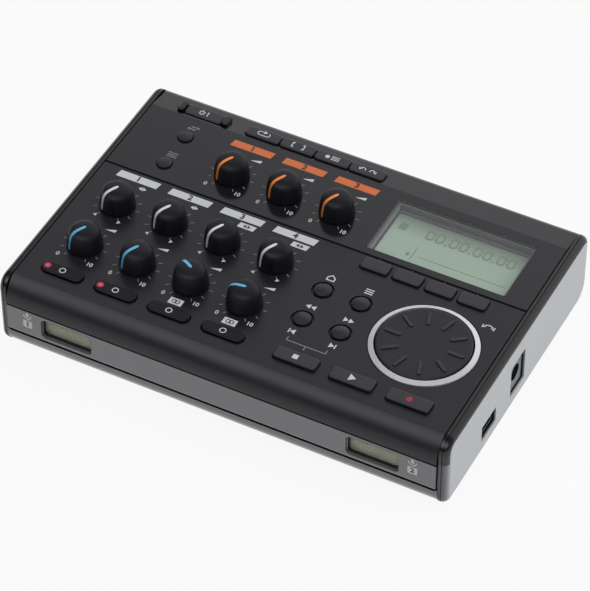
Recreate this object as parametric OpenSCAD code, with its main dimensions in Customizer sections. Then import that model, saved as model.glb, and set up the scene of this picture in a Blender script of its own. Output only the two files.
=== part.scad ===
// Desktop digital multitrack recorder, in millimetres at its real size.
// Origin at the middle of its footprint on the table: +X right, +Y to the jacks, +Z up.

/* [Case] */
// Overall width over the side cheeks
case_w = 155; // [139.5:0.5:175]
// Depth from the front fascia to the jack panel
case_d = 104.7; // [94:0.1:120]
// Thickness of each side cheek
cheek_t = 3; // [2.8:0.1:4]
// Wall thickness of the covers
wall = 2; // [1.8:0.1:2.6]
// Wall at the two ends of the top cover
end_wall = 1.5; // [1:0.1:2.5]
// Height of the rubber feet under the case
foot_h = 0.8; // [0.6:0.1:2]
// Diameter of a rubber foot
foot_d = 9; // [6:0.5:10]
// Depth of the seat that holds a foot
foot_seat = 0.5; // [0.3:0.1:0.8]
// Radius of the front roll-off of the panel
roll_r = 9.7; // [9.2:0.1:12]
// Height of the roll-off from its lower edge to the panel
roll_h = 8.6; // [7.5:0.1:9]
// Height of the front lip of the bottom cover
lip_h = 7.1; // [6:0.1:7.6]
// Radius of the front lip where it curves under
lip_r = 5; // [3:0.1:6]
// Radius where the rear wall curves under
rear_low_r = 7; // [5:0.1:8]
// Fall of the rear strip behind the panel's crease
strip_drop = 1; // [0.6:0.1:1.2]
// Depth of the rear strip
strip_d = 11; // [10.5:0.1:12]
// Radius of the rear top edge
rear_top_r = 3.5; // [3:0.1:4.5]
// Height of the top cover's wall above the jack panel
rear_skirt = 4.3; // [3.8:0.1:5.5]
// Gap of the seams between the mouldings
seam = 0.3; // [0.2:0.05:0.5]
// Gap of the seams above and below the front fascia
front_seam = 0.6; // [0.3:0.05:0.8]
// Width of the groove across the panel
groove_w = 0.9; // [0.5:0.1:1.5]
// Depth of the groove across the panel
groove_t = 0.5; // [0.3:0.1:0.8]
// Distance of the groove from the rear wall
groove_back = 41.8; // [41:0.1:44]

/* [Cheeks] */
// Setback of the cheeks from the front fascia and the rear wall
cheek_set = 0.6; // [0.3:0.1:1.5]
// Rounding of the cheeks' outer edge
cheek_edge = 2.4; // [1.5:0.1:2.6]
// Front top corner radius of a cheek
cheek_ft_r = 5; // [4:0.1:7]
// Front bottom corner radius of a cheek
cheek_fb_r = 4; // [3:0.1:6]
// Rear top corner radius of a cheek
cheek_rt_r = 4; // [3:0.1:6]
// Width of the black rail along a cheek's edge
rail_band = 1.9; // [1.5:0.1:2.4]
// Gap between a rail and the panel
rail_gap = 0.4; // [0.2:0.05:0.6]
// Width of the rim on the inner side of a rail
rim_w = 0.9; // [0.6:0.1:1.2]
// Width and depth of the groove beside the rim
rim_groove = 0.4; // [0.2:0.05:0.5]
// Depth of the flange that ties a cheek to the floor
cheek_flange = 2.8; // [2:0.1:3]

/* [Front] */
// Thickness of the front fascia
fascia_t = 2; // [1.6:0.1:2.4]
// Width of a microphone window
mic_w = 18; // [14:0.5:20]
// Height of a microphone window
mic_h = 7.8; // [6:0.1:8.2]
// Corner radius of a microphone window
mic_r = 1.7; // [1:0.1:2.5]
// Distance of a microphone window from the middle
mic_x = 53; // [46:0.5:58]
// Ledge inside a microphone window
mic_ledge = 0.5; // [0.3:0.1:0.8]
// Depth from the fascia's face to that ledge
mic_step = 0.7; // [0.4:0.1:1]
// Thickness of the microphone screen
screen_t = 0.6; // [0.4:0.1:0.8]
// Diameter of a microphone capsule
capsule_d = 6; // [4:0.1:6.5]
// Length of a microphone capsule
capsule_l = 3.2; // [2:0.1:3.6]

/* [Knobs] */
// Diameter of a knob at its foot
knob_d = 11.6; // [9:0.1:13]
// Diameter to which a knob's side tapers at the top
knob_top_d = 8; // [6:0.1:8.8]
// Height of a knob's top above the panel
knob_h = 7.6; // [6:0.1:10]
// Rounding of a knob's top edge
knob_fillet = 0.8; // [0.4:0.1:1.6]
// Radius of a knob's crowned top
knob_crown_r = 16; // [12:1:60]
// Gap under a knob
knob_gap = 0.4; // [0.2:0.1:0.8]
// Diameter of a knob's shaft
shaft_d = 6; // [4:0.1:6]
// Running clearance round a shaft
shaft_fit = 0.05; // [0.02:0.01:0.1]
// Room round a shaft where it passes the panel
shaft_room = 0.4; // [0.2:0.05:0.8]
// Side of a potentiometer's body
pot_w = 11; // [9:0.1:12]
// Height of a potentiometer's body
pot_h = 4; // [3:0.1:4.4]
// Floor under a shaft's bore, and the gap above it
bore_skin = 0.2; // [0.1:0.05:0.4]

/* [Data wheel] */
// Outer radius of the silver ring
ring_r = 17.1; // [15:0.1:18]
// Width of the silver ring
ring_w = 1.6; // [1:0.1:2.5]
// Height of the ring's outer edge
ring_low = 0.3; // [0.2:0.1:0.5]
// Height of the ring's inner edge
ring_high = 0.9; // [0.6:0.1:1.2]
// Depth of the ring's seat in the panel
ring_seat = 0.3; // [0.2:0.1:0.6]
// Width of the groove round the ring
ring_margin = 0.5; // [0.2:0.1:0.8]
// Thickness of the ring's collar in the panel
collar_t = 0.4; // [0.3:0.1:0.6]
// Gap between the ring and the wheel
wheel_gap = 0.5; // [0.3:0.05:0.8]
// Height of the wheel's top above the panel
wheel_proud = 1; // [0.6:0.1:1.6]
// Number of ribs on the wheel
rib_count = 10; // [6:1:14]
// Distance of the ribs from the wheel's edge
rib_in = 1.6; // [1:0.1:3]
// Length of a rib
rib_l = 5.5; // [3:0.1:6]
// Width of a rib
rib_w = 1.2; // [0.8:0.1:1.6]
// Height of a rib
rib_t = 0.4; // [0.3:0.1:0.8]
// Rounding of a rib's edge
rib_edge = 0.2; // [0.1:0.05:0.3]
// Side of the encoder's body
encoder_w = 12; // [10:0.1:14]
// Height of the encoder's body
encoder_h = 4.3; // [3.5:0.1:4.6]

/* [Keys] */
// Gap round a key in its opening
key_gap = 0.3; // [0.2:0.05:0.5]
// Travel of a key
key_travel = 0.5; // [0.3:0.05:0.8]
// Clearance of a key's flange under the panel
flange_gap = 0.1; // [0.05:0.05:0.2]
// Width of a key's retaining flange
flange_w = 0.8; // [0.6:0.05:1]
// Thickness of a key's retaining flange
flange_t = 0.8; // [0.5:0.1:1]
// Diameter of a key's plunger
plunger_d = 3; // [2:0.1:3.4]
// Clearance to the switch at the end of a key's travel
switch_gap = 0.05; // [0.02:0.01:0.1]
// Rounding of a key's upper edge
key_edge = 0.5; // [0.3:0.05:0.6]
// Gap between two track keys
track_key_gap = 4.4; // [3:0.1:6]
// Depth of a track key
track_key_d = 4.6; // [4:0.1:5.4]
// Gap between two transport keys
transport_gap = 4.7; // [3:0.1:6]
// Depth of a transport key
transport_d = 4.8; // [4:0.1:5.4]
// Gap between two soft keys
soft_gap = 1.65; // [1.5:0.05:3]
// Depth of a soft key
soft_d = 4.7; // [4:0.1:5]
// Gap between two function keys on the rear strip
function_gap = 0.4; // [0.2:0.05:1]
// Depth of a function key on the rear strip
function_d = 4.2; // [3.6:0.1:4.6]
// Width of the power key
power_w = 13.4; // [12:0.1:14]
// Depth of the power key
power_d = 4.5; // [3.6:0.1:4.8]
// Diameter of a round key
nav_d = 5.6; // [4.5:0.1:6.4]
// Diameter of the recess round a round key
nav_recess_d = 7.4; // [7:0.1:9]
// Diameter of a plain round key
plain_d = 4.9; // [4.5:0.1:6]
// Corner radius of the oblong keys
key_r = 0.9; // [0.7:0.1:1.4]
// Height of a track key above the panel
track_proud = 0.9; // [0.6:0.1:1.4]
// Height of a transport key above the panel
transport_proud = 1.2; // [0.6:0.1:1.6]
// Height of a soft key above the panel
soft_proud = 1; // [0.6:0.1:1.4]
// Height of a function key above the panel
function_proud = 0.7; // [0.6:0.1:1.2]
// Height of the power key above the panel
power_proud = 0.3; // [0.1:0.1:0.6]
// Height of a round key's rim above the panel
nav_proud = 0.3; // [0.1:0.1:0.6]
// Crown of a round key
nav_crown = 0.6; // [0.3:0.1:0.9]
// Height of a plain round key's rim above the panel
plain_proud = 0.6; // [0.6:0.1:1]
// Crown of a plain round key
plain_crown = 0.3; // [0.1:0.1:0.6]
// Depth of the recesses round the power key and the round keys
recess_t = 0.8; // [0.5:0.1:1]
// Width of the guards at the ends of the power key
guard_w = 2.2; // [1.4:0.1:2.4]
// Height of the power key's guards above the panel
guard_h = 1; // [0.4:0.1:1.4]

/* [Layout from the left edge of the panel] */
// First track column
track_in = 13.95; // [13:0.05:15]
// Spacing of the track columns and of the input knobs
column_pitch = 18.8; // [18.4:0.1:19.6]
// First input knob and jack
input_in = 39.6; // [39:0.1:41]
// From the last input knob to the middle of the display window
middle_gap = 38.95; // [37:0.05:42]
// First function key
function_in = 40; // [39:0.1:42]
// Spacing of the function keys
function_pitch = 12.5; // [12.3:0.1:13.5]
// Power key
power_in = 18.1; // [17:0.1:20]
// Plain round keys
plain_in = 17.8; // [16:0.1:20]

/* [Layout from the right edge of the panel] */
// Data wheel
wheel_in = 21.75; // [20:0.05:24]
// Menu key
menu_in = 46.8; // [46:0.1:48]
// Distance between the round keys in a row
nav_pitch = 13.1; // [11:0.1:14]
// Record key
record_in = 15.5; // [14:0.1:17]
// Spacing of the transport keys
transport_pitch = 19; // [17.5:0.1:20]
// Last soft key
soft_in = 16.45; // [15:0.05:18]
// Spacing of the soft keys
soft_pitch = 11.15; // [10.6:0.05:12]
// Display window
window_in = 32.85; // [31:0.05:33]
// Headphone jack
phones_in = 48.5; // [46:0.1:52]

/* [Layout from the front] */
// Row of track and transport keys
key_row = 12.35; // [12:0.05:13]
// Row of level knobs
level_row = 26.3; // [26:0.1:27]
// Row of pan knobs
pan_row = 46.8; // [44:0.1:47.5]
// From the pan knobs to the groove
pan_gap = 16.1; // [15:0.1:18]
// Data wheel row
wheel_row = 35.4; // [34.5:0.1:36]
// Row of rewind and forward keys
rewind_row = 28.6; // [27:0.1:30]
// Row of home and menu keys
home_row = 42.5; // [41:0.1:44]
// Screws near the front
screw_row = 18.5; // [18.2:0.1:18.8]
// Feet near the front
front_foot_row = 10.5; // [10:0.1:11]

/* [Layout from the rear] */
// Row of input knobs
input_back = 29.2; // [28:0.1:30]
// Soft keys, in front of the groove
soft_off = 3.9; // [3.6:0.1:4]
// Middle of the display window
window_back = 26.75; // [26.5:0.05:27]
// Upper plain round key
plain_back = 20.3; // [19:0.1:21]
// Distance between the plain round keys
plain_pitch = 14; // [12:0.1:15]
// Function keys
function_back = 8; // [7.8:0.1:8.2]
// Power key
power_back = 7.6; // [7.4:0.1:7.9]
// Screws near the rear
screw_back = 10.2; // [9.8:0.1:11]
// Feet near the rear
rear_foot_back = 19.5; // [19:0.1:21]
// Screws from the panel's side edge
screw_in = 6.5; // [6.4:0.05:6.6]

/* [Display] */
// Margin between the display window and the panel's side edge
window_side = 8.9; // [8.6:0.05:10]
// Margin between the display window and the groove
window_front = 2.9; // [2.7:0.05:4]
// Thickness of the display window
window_t = 1.2; // [0.8:0.1:1.4]
// Ledge that carries the display window
window_ledge = 0.6; // [0.4:0.1:1]
// Overhang of the display module round the window
lcd_rim = 1; // [0.5:0.1:1.4]
// Height of the display module
lcd_h = 4; // [3:0.1:4.4]
// Margin of the display glass at the sides of the window
glass_side = 0.75; // [0.4:0.05:2]
// Margin of the display glass in front and behind
glass_end = 2.15; // [1:0.05:3]
// Thickness of the display glass
glass_t = 1.1; // [0.7:0.1:1.5]

/* [Inside] */
// Thickness of the circuit boards
board_t = 1.6; // [1:0.1:2]
// Room for components between board and panel
comp_h = 4.9; // [4.7:0.1:6]
// Gap between the battery bay and the board
bay_gap = 0.6; // [0.3:0.1:2]
// Edge of the board inside the covers
board_room = 0.6; // [0.4:0.1:1]
// Side of a tact switch
switch_w = 5; // [4:0.1:6]
// Height of a tact switch body
switch_h = 1.8; // [1.2:0.1:2]
// Diameter of a tact switch button
switch_btn_d = 3.2; // [2:0.1:3.5]
// Height of a tact switch button
switch_btn_h = 0.8; // [0.5:0.1:0.9]
// Shaft diameter of a case screw
screw_d = 2.4; // [2:0.1:2.6]
// Head diameter of a case screw
screw_head_d = 4.4; // [4:0.1:4.8]
// Head height of a case screw
screw_head_h = 1.5; // [1:0.1:1.6]
// Room round a screw in its hole
screw_room = 0.3; // [0.2:0.05:0.4]
// Wall of a screw post
post_wall = 1.5; // [1.4:0.1:1.9]

/* [Batteries] */
// Diameter of a cell
cell_d = 14.5; // [14:0.1:15]
// Length of a cell with its nub
cell_l = 50.5; // [48:0.1:51]
// Length of a cell's nub
nub_l = 1.2; // [0.8:0.1:1.6]
// Diameter of a cell's nub
nub_d = 5.5; // [4:0.1:6]
// Room between cells and bay
cell_room = 0.3; // [0.2:0.05:0.5]
// Thickness of a contact plate
contact_t = 0.4; // [0.3:0.05:0.6]
// Wall of the battery bay
bay_wall = 2.5; // [2.2:0.1:3]
// Roof of the battery bay
bay_roof = 1; // [0.8:0.1:1.4]
// Thickness of the battery door
door_t = 1.6; // [1.2:0.1:1.6]
// Overlap of the door under the bay's wall
door_lap = 1; // [0.6:0.1:1.2]
// Gap round the battery door
door_gap = 0.3; // [0.2:0.05:0.4]
// Middle of the battery bay from the front
bay_row = 24.5; // [24.3:0.1:25]

/* [Sockets] */
// Bore of an input jack
jack_bore = 6.4; // [6.35:0.05:6.6]
// Diameter of an input jack's threaded nose
jack_nose_d = 9; // [8.4:0.1:9.6]
// Width of an input jack's body
jack_w = 15; // [13:0.1:16]
// Length of an input jack's body
jack_l = 20; // [18:0.5:22]
// Height of the jack axis above the case bottom
jack_up = 13.4; // [13:0.1:14]
// Bore of the headphone jack
phones_bore = 3.6; // [3.5:0.05:3.8]
// Diameter of the headphone jack's nose
phones_nose_d = 6.4; // [5.6:0.1:7]
// Width of the headphone jack's body
phones_w = 8; // [7:0.1:10]
// Length of the headphone jack's body
phones_l = 14; // [12:0.5:16]
// Height of the headphone jack axis above the case bottom
phones_up = 14.7; // [13:0.1:15]
// How far the headphone jack stands out
phones_proud = 0.8; // [0.5:0.1:1.5]
// How far the input jacks and their nuts stand out
nut_proud = 2.3; // [1.6:0.1:3]
// Diameter of a jack nut over its corners
nut_d = 11.8; // [11:0.1:12.4]
// Clearance of a nose in its hole
nose_fit = 0.2; // [0.1:0.05:0.4]
// Underside of the side board above the case bottom
side_board_up = 4.5; // [3:0.1:4.6]
// Gap between the battery bay and the side board
side_gap = 1; // [0.6:0.1:3]
// Middle of the power socket from the front
dc_row = 51; // [50:0.1:52]
// Width of the power socket's block
dc_w = 9.4; // [8.5:0.1:10]
// Length of the power socket's block
dc_l = 14; // [13:0.1:15]
// Bore of the power socket
dc_bore = 5.8; // [5.5:0.1:6.2]
// Depth of the power socket's bore
dc_bore_l = 9; // [8:0.1:10]
// Pin diameter of the power socket
dc_pin_d = 2; // [1.6:0.1:2.5]
// Middle of the data port from the front
usb_row = 30.3; // [29:0.1:31]
// Width of the data port's shell
usb_w = 7.7; // [7:0.1:8.2]
// Height of the data port's shell
usb_h = 3.9; // [3.4:0.1:4.4]
// Length of the data port's shell
usb_l = 9; // [8:0.1:10]
// Thickness of the data port's shell
usb_skin = 0.4; // [0.3:0.05:0.5]
// Height of the base under the data port
usb_base = 0.8; // [0.5:0.1:1.5]
// Depth of the sockets behind the cheek's face
socket_set = 1; // [0.6:0.1:1.6]
// Room round a socket in the cheek
socket_room = 0.4; // [0.3:0.1:0.8]
// Height of the opening above the data port
usb_head = 1.2; // [0.6:0.1:1.6]

/* [Memory card] */
// Width of the card
card_w = 24; // [20:0.5:24]
// Length of the card
card_l = 32; // [30:0.5:34]
// Thickness of the card
card_t = 2.1; // [1.6:0.1:2.2]
// Cut corner of the card
card_cut = 4; // [2:0.5:5]
// Room round the card in its slot
card_room = 0.15; // [0.1:0.05:0.3]
// Shell of the card socket
card_shell = 0.5; // [0.3:0.1:0.8]
// Middle of the card from the rear
card_back = 35.2; // [35:0.1:36]
// Setback of the card from the cheek's face
card_set = 0.4; // [0.2:0.1:1]

/* [Hidden] */
$fn = 64;
eps = 0.01;

// Outside planes of the case
panel_half = case_w / 2 - cheek_t;
cover_half = panel_half - rail_gap;
front_y = -(case_d + nut_proud) / 2;
rear_y = front_y + case_d;
floor_z = foot_h;
floor_top = floor_z + wall;

// Stack from the door up to the panel
door_top = floor_z + door_t;
cell_z = door_top + cell_room + cell_d / 2;
bay_top = cell_z + cell_d / 2 + cell_room + bay_roof;
board_z = bay_top + bay_gap;
board_top = board_z + board_t;
under_z = board_top + comp_h;
panel_z = under_z + wall;

// Front roll-off, seams and rear strip
roll_z = panel_z - roll_h;
roll_y = front_y + roll_r;
lip_z = floor_z + lip_h;
fascia_low = lip_z + front_seam;
fascia_high = roll_z - front_seam;
fascia_back = front_y + fascia_t;
strip_y = rear_y - strip_d;
strip_angle = atan(strip_drop / (strip_d - rear_top_r));
strip_cy = rear_y - rear_top_r;
strip_sink = 0.03;
edge_sink = 0.01;
strip_cz = panel_z - (strip_cy - strip_y) * tan(strip_angle) - rear_top_r / cos(strip_angle);
skirt_z = panel_z - rear_skirt;
rear_low_h = rear_low_r + seam;
rear_plate_z = floor_z + rear_low_h + seam;
rear_in = rear_y - wall;

// Stretch that fits the layout's columns and rows into the panel
across = 2 * panel_half / (input_in + 2 * column_pitch + middle_gap + window_in);
along = case_d / (pan_row + pan_gap + groove_back);
groove_y = rear_y - along * groove_back;

// Outline of the cheeks
cheek_box = [front_y + cheek_set, rear_y - cheek_set, floor_z, panel_z];
cheek_radii = [cheek_ft_r, cheek_fb_r, rear_low_r, cheek_rt_r];

// Middle height of the microphone windows
mic_z = (fascia_low + fascia_high) / 2;

// Places of the controls
function from_left(d) = -panel_half + across * d;
function from_right(d) = panel_half - across * d;
function from_front(d) = front_y + along * d;
function from_rear(d) = rear_y - along * d;
function track_x(i) = from_left(track_in + i * column_pitch);
function pan_at(i) = [track_x(i), from_front(pan_row)];
function level_at(i) = [track_x(i), from_front(level_row)];
function track_key_at(i) = [track_x(i), from_front(key_row)];
function input_x(i) = from_left(input_in + i * column_pitch);
function input_at(i) = [input_x(i), from_rear(input_back)];
function function_at(i) = [from_left(function_in + i * function_pitch), rear_y - function_back];
function plain_at(i) = [from_left(plain_in), from_rear(plain_back + i * plain_pitch)];
function transport_at(i) = [from_right(record_in + (2 - i) * transport_pitch), from_front(key_row)];
function soft_at(i) = [from_right(soft_in + (3 - i) * soft_pitch), from_rear(groove_back + soft_off)];
function nav_x(i) = from_right(menu_in + (1 - i % 2) * nav_pitch);
function nav_at(i) = [nav_x(i), from_front(i < 2 ? home_row : rewind_row)];
power_at = [from_left(power_in), rear_y - power_back];
wheel_at = [from_right(wheel_in), from_front(wheel_row)];
window_at = [from_right(window_in), from_rear(window_back)];
window_w = 2 * (panel_half - window_side - window_at[0]);
window_d = 2 * (window_at[1] - window_front - groove_y);
knob_spots = concat(
    [for (i = [0:2]) input_at(i)],
    [for (i = [0:3]) pan_at(i)],
    [for (i = [0:3]) level_at(i)]);

// Keys: width, depth, corner radius and height above the panel
pill_flat = 0.1;
guard_r = 0.7;
track_key = [across * column_pitch - track_key_gap, track_key_d, (track_key_d - pill_flat) / 2, track_proud];
transport_key = [across * transport_pitch - transport_gap, transport_d, key_r, transport_proud];
soft_key = [across * soft_pitch - soft_gap, soft_d, key_r, soft_proud];
function_key = [across * function_pitch - function_gap, function_d, key_r, function_proud];
power_key = [power_w, power_d, key_r, power_proud];
oblong_keys = concat(
    [for (i = [0:3]) [track_key_at(i), track_key]],
    [for (i = [0:2]) [transport_at(i), transport_key]],
    [for (i = [0:3]) [soft_at(i), soft_key]],
    [[power_at, power_key]]);
round_keys = concat(
    [for (i = [0:3]) [nav_at(i), nav_d]],
    [for (i = [0:1]) [plain_at(i), plain_d]]);
key_spots = concat(
    [for (k = oblong_keys) k[0]],
    [for (k = round_keys) k[0]],
    [for (i = [0:3]) function_at(i)]);
flange_z = under_z - flange_gap - flange_t;
switch_top = board_top + switch_h + switch_btn_h;
plunger_z = switch_top + key_travel + switch_gap;
recess_z = panel_z - recess_t;

// Radii of the data wheel and its ribs
ring_in = ring_r - ring_w;
wheel_r = ring_in - wheel_gap;
rib_r1 = wheel_r - rib_in;
rib_r0 = rib_r1 - rib_l;

// Floor of the shaft bores and tip of every shaft
bore_floor = board_top + bore_skin;
shaft_tip = bore_floor + bore_skin;

// Battery bay
bay_y = front_y + bay_row;
row_pitch = cell_d + cell_room;
bay_half_x = cell_l + contact_t + cell_room / 2;
bay_half_y = row_pitch / 2 + cell_d / 2 + cell_room;
door_half_x = bay_half_x + door_lap;
door_half_y = bay_half_y + door_lap;

// Screws and feet
screw_x = from_right(screw_in);
screw_spots = [for (s = [-1, 1], y = [from_front(screw_row), from_rear(screw_back)]) [s * screw_x, y]];
foot_x = (door_half_x + panel_half) / 2;
foot_spots = [for (s = [-1, 1], y = [front_y + front_foot_row, rear_y - rear_foot_back]) [s * foot_x, y]];
head_seat = floor_z + screw_head_h + screw_room;
post_r = screw_d / 2 + screw_room + post_wall;
boss_wall = 1.3;
boss_r = screw_d / 2 + shaft_fit + boss_wall;
screw_tip = under_z - wall / 2;

// Jacks, sockets and card
jack_z = floor_z + jack_up;
phones_z = floor_z + phones_up;
phones_x = panel_half - phones_in;
socket_face = case_w / 2 - socket_set;
side_board_x = panel_half - cheek_flange - seam;
side_board_z = floor_z + side_board_up;
side_board_top = side_board_z + board_t;
dc_y = front_y + dc_row;
usb_y = front_y + usb_row;
usb_low = side_board_top + usb_base;
usb_high = usb_low + usb_h;
cut_low = side_board_top - socket_room;
cut_r = 0.6;
card_y = rear_y - card_back;
card_x0 = -case_w / 2 + card_set;
card_z = board_z - card_shell - card_room - card_t;
socket_x0 = -panel_half + seam;

// Names of the pieces
input_names = ["input_a_knob", "input_b_knob", "master_knob"];
function_names = ["repeat_button", "in_out_button", "mode_button", "undo_button"];
plain_names = ["setting_button", "assign_button"];
nav_names = ["home_button", "menu_button", "rewind_button", "forward_button"];
transport_names = ["stop_button", "play_button", "record_button"];
function numbered(name) = [for (i = [1:4]) str(name, i)];

// Colours
panel_black = "#3a393e";
gloss_black = "#141416";
knob_black = "#232427";
silver_paint = "#a9adb0";
dark_silver = "#7a7b80";
board_green = "#2e5a3c";
steel = "#b8babc";

// A box [x0, x1, y0, y1] drawn in by d on every side
function inset(box, d) = [box[0] + d, box[1] - d, box[2] + d, box[3] - d];
// A box of size w by d about a point
function box_at(p, w, d) = [p[0] - w / 2, p[0] + w / 2, p[1] - d / 2, p[1] + d / 2];

// A direction of length 1
function unit(v) = v / norm(v);

// The same radius at all four corners
function four(r) = [r, r, r, r];

// Flat outline of a box with a radius at each corner: x0y1, x0y0, x1y0, x1y1
module outline(box, r) {
    x0 = box[0];
    x1 = box[1];
    y0 = box[2];
    y1 = box[3];
    polygon([
        [x0 + r[0], y1], [x0, y1 - r[0]],
        [x0, y0 + r[1]], [x0 + r[1], y0],
        [x1 - r[2], y0], [x1, y0 + r[2]],
        [x1, y1 - r[3]], [x1 - r[3], y1]]);
    translate([x0 + r[0], y1 - r[0]]) circle(r[0]);
    translate([x0 + r[1], y0 + r[1]]) circle(r[1]);
    translate([x1 - r[2], y0 + r[2]]) circle(r[2]);
    translate([x1 - r[3], y1 - r[3]]) circle(r[3]);
}

// Rounded rectangle about a point
module oblong(p, w, d, r) {
    outline(box_at(p, w, d), four(r));
}

// Section of a plate's edge, rounded by e on its far side
module edge_section(t, e) {
    square([e, t - e]);
    translate([0, t - e]) intersection() {
        circle(e);
        square(e);
    }
}

// Straight stretch of a rounded edge, from a point, facing the given way
module edge_run(p, facing, l, t, e) {
    translate([p[0], p[1], 0]) rotate([0, 0, facing]) rotate([90, 0, 0])
        linear_extrude(l) edge_section(t, e);
}

// Corner of a rounded edge about its centre
module edge_turn(p, start, r, t, e) {
    translate([p[0], p[1], 0]) rotate([0, 0, start])
        rotate_extrude(angle = 90) translate([r - e, 0]) edge_section(t, e);
}

// Plate of thickness t on an outline, its far edge rounded by e
module soft_plate(box, r, t, e) {
    x0 = box[0];
    x1 = box[1];
    y0 = box[2];
    y1 = box[3];
    linear_extrude(t) outline(inset(box, e), [for (c = r) c - e]);
    edge_run([x1 - e, y1 - r[3]], 0, y1 - y0 - r[3] - r[2], t, e);
    edge_run([x0 + r[0], y1 - e], 90, x1 - x0 - r[0] - r[3], t, e);
    edge_run([x0 + e, y0 + r[1]], 180, y1 - y0 - r[0] - r[1], t, e);
    edge_run([x1 - r[2], y0 + e], 270, x1 - x0 - r[1] - r[2], t, e);
    edge_turn([x1 - r[3], y1 - r[3]], 0, r[3], t, e);
    edge_turn([x0 + r[0], y1 - r[0]], 90, r[0], t, e);
    edge_turn([x0 + r[1], y0 + r[1]], 180, r[1], t, e);
    edge_turn([x1 - r[2], y0 + r[2]], 270, r[2], t, e);
}

// Side profile carried across the case: its x becomes Y, its y becomes Z
module along_x(x0, x1) {
    translate([x0, 0, 0]) rotate([90, 0, 90]) linear_extrude(x1 - x0) children();
}

// Front profile carried to the rear from y0 to y1: its x stays X, its y becomes Z
module along_y(y0, y1) {
    translate([0, y1, 0]) rotate([90, 0, 0]) linear_extrude(y1 - y0) children();
}

// Block between two corners
module block(a, b) {
    translate(a) cube(b - a);
}

// Upright cylinder at a point between two heights
module post(p, z0, z1, r) {
    translate([p[0], p[1], z0]) cylinder(h = z1 - z0, r = r);
}

// Turned cap: straight side up to the rim, then a crown
module crowned_disc(r, rim, crown) {
    crown_r = (r * r + crown * crown) / (2 * crown);
    rotate_extrude() intersection() {
        square([r, rim + crown]);
        translate([0, rim + crown - crown_r]) circle(crown_r);
    }
}

// Profile of the top cover: roll-off, panel, falling rear strip and round rear edge
module cover_profile() {
    meet_r = rear_top_r - strip_sink;
    strip_end = [strip_cy + meet_r * sin(strip_angle), strip_cz + meet_r * cos(strip_angle)];
    intersection() {
        union() {
            translate([roll_y, roll_z]) circle(roll_r, $fn = 128);
            polygon([
                [roll_y, roll_z], [roll_y, panel_z], [strip_y, panel_z], strip_end,
                [strip_cy, strip_cz], [rear_y, strip_cz], [rear_y, roll_z]]);
            translate([strip_cy, strip_cz]) circle(rear_top_r);
        }
        translate([front_y, roll_z]) square([case_d, roll_h]);
    }
}

// Hollow under the top cover, open below and at the jack panel
module cover_hollow() {
    intersection() {
        union() {
            translate([roll_y, roll_z]) circle(roll_r - wall, $fn = 128);
            translate([roll_y, roll_z - eps]) square([strip_cy - roll_y, roll_h]);
        }
        translate([front_y, roll_z - eps]) square([case_d, under_z - roll_z + eps]);
    }
}

// Outline of the display window, grown by d
module window_outline(d, r) {
    oblong(window_at, window_w + 2 * d, window_d + 2 * d, r);
}

// Openings for the controls, cut right through the panel
module control_openings() {
    for (p = knob_spots)
        post(p, under_z - eps, panel_z + eps, shaft_d / 2 + shaft_room);
    for (k = oblong_keys)
        translate([0, 0, under_z - eps]) linear_extrude(wall + 2 * eps)
            oblong(k[0], k[1][0] + 2 * key_gap, k[1][1] + 2 * key_gap, k[1][2] + key_gap);
    translate([0, 0, under_z - eps]) linear_extrude(wall + 2 * eps)
        oblong(
            (function_at(0) + function_at(3)) / 2,
            function_at(3)[0] - function_at(0)[0] + function_key[0] + 2 * key_gap,
            function_d + 2 * key_gap, key_r + key_gap);
    for (k = round_keys)
        post(k[0], under_z - eps, panel_z + eps, k[1] / 2 + key_gap);
    for (i = [0:3])
        post(nav_at(i), recess_z, panel_z + eps, nav_recess_d / 2);
    post(wheel_at, under_z - eps, panel_z + eps, ring_in + collar_t + nose_fit / 2);
    post(wheel_at, panel_z - ring_seat, panel_z + eps, ring_r + ring_margin);
    translate([0, 0, recess_z]) linear_extrude(recess_t + eps)
        oblong(power_at, power_w + 2 * (key_gap + guard_w), power_d + 4 * key_gap, key_r);
    translate([0, 0, panel_z - window_t]) linear_extrude(window_t + eps)
        window_outline(0, key_r);
    translate([0, 0, under_z - eps]) linear_extrude(wall)
        window_outline(-window_ledge, key_r - window_ledge / 2);
}

// Guards that stand at both ends of the power key
module power_guards() {
    for (s = [-1, 1])
        translate([0, 0, recess_z - eps])
            soft_plate(
                box_at(power_at + [s * (power_w / 2 + key_gap + guard_w / 2), 0], guard_w, power_d),
                four(guard_r), recess_t + guard_h, key_edge);
}

module top_cover() {
    color(panel_black) {
        difference() {
            along_x(-cover_half, cover_half) cover_profile();
            along_x(-cover_half + end_wall, cover_half - end_wall) cover_hollow();
            block(
                [-case_w, front_y + roll_r, roll_z - eps],
                [case_w, strip_cy, board_top + seam]);
            block([-case_w, strip_cy - eps, roll_z - eps], [case_w, rear_y + eps, skirt_z]);
            block(
                [-case_w, groove_y - groove_w / 2, panel_z - groove_t],
                [case_w, groove_y + groove_w / 2, panel_z + eps]);
            control_openings();
        }
        power_guards();
        difference() {
            for (p = screw_spots) post(p, board_top, under_z + eps, boss_r);
            for (p = screw_spots) post(p, board_top - eps, screw_tip + seam, screw_d / 2 + shaft_fit);
        }
    }
}

// Outline of a cheek, drawn in by d
module cheek_outline(d) {
    outline(inset(cheek_box, d), [for (r = cheek_radii) r - d]);
}

// Band along the top of a cheek that the rail takes up, open to the outside
module rail_profile() {
    difference() {
        translate([front_y, roll_z]) square([case_d, roll_h + wall]);
        cheek_outline(rail_band);
    }
}

// Full cheek of the right side with the groove beside its rim, before the rail is parted from it
module cheek_plate() {
    groove_x = panel_half + rim_w;
    difference() {
        translate([panel_half, 0, 0]) rotate([90, 0, 90])
            soft_plate(cheek_box, cheek_radii, cheek_t, cheek_edge);
        along_x(groove_x, groove_x + rim_groove) difference() {
            cheek_outline(-wall);
            cheek_outline(rim_groove);
        }
    }
}

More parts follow.
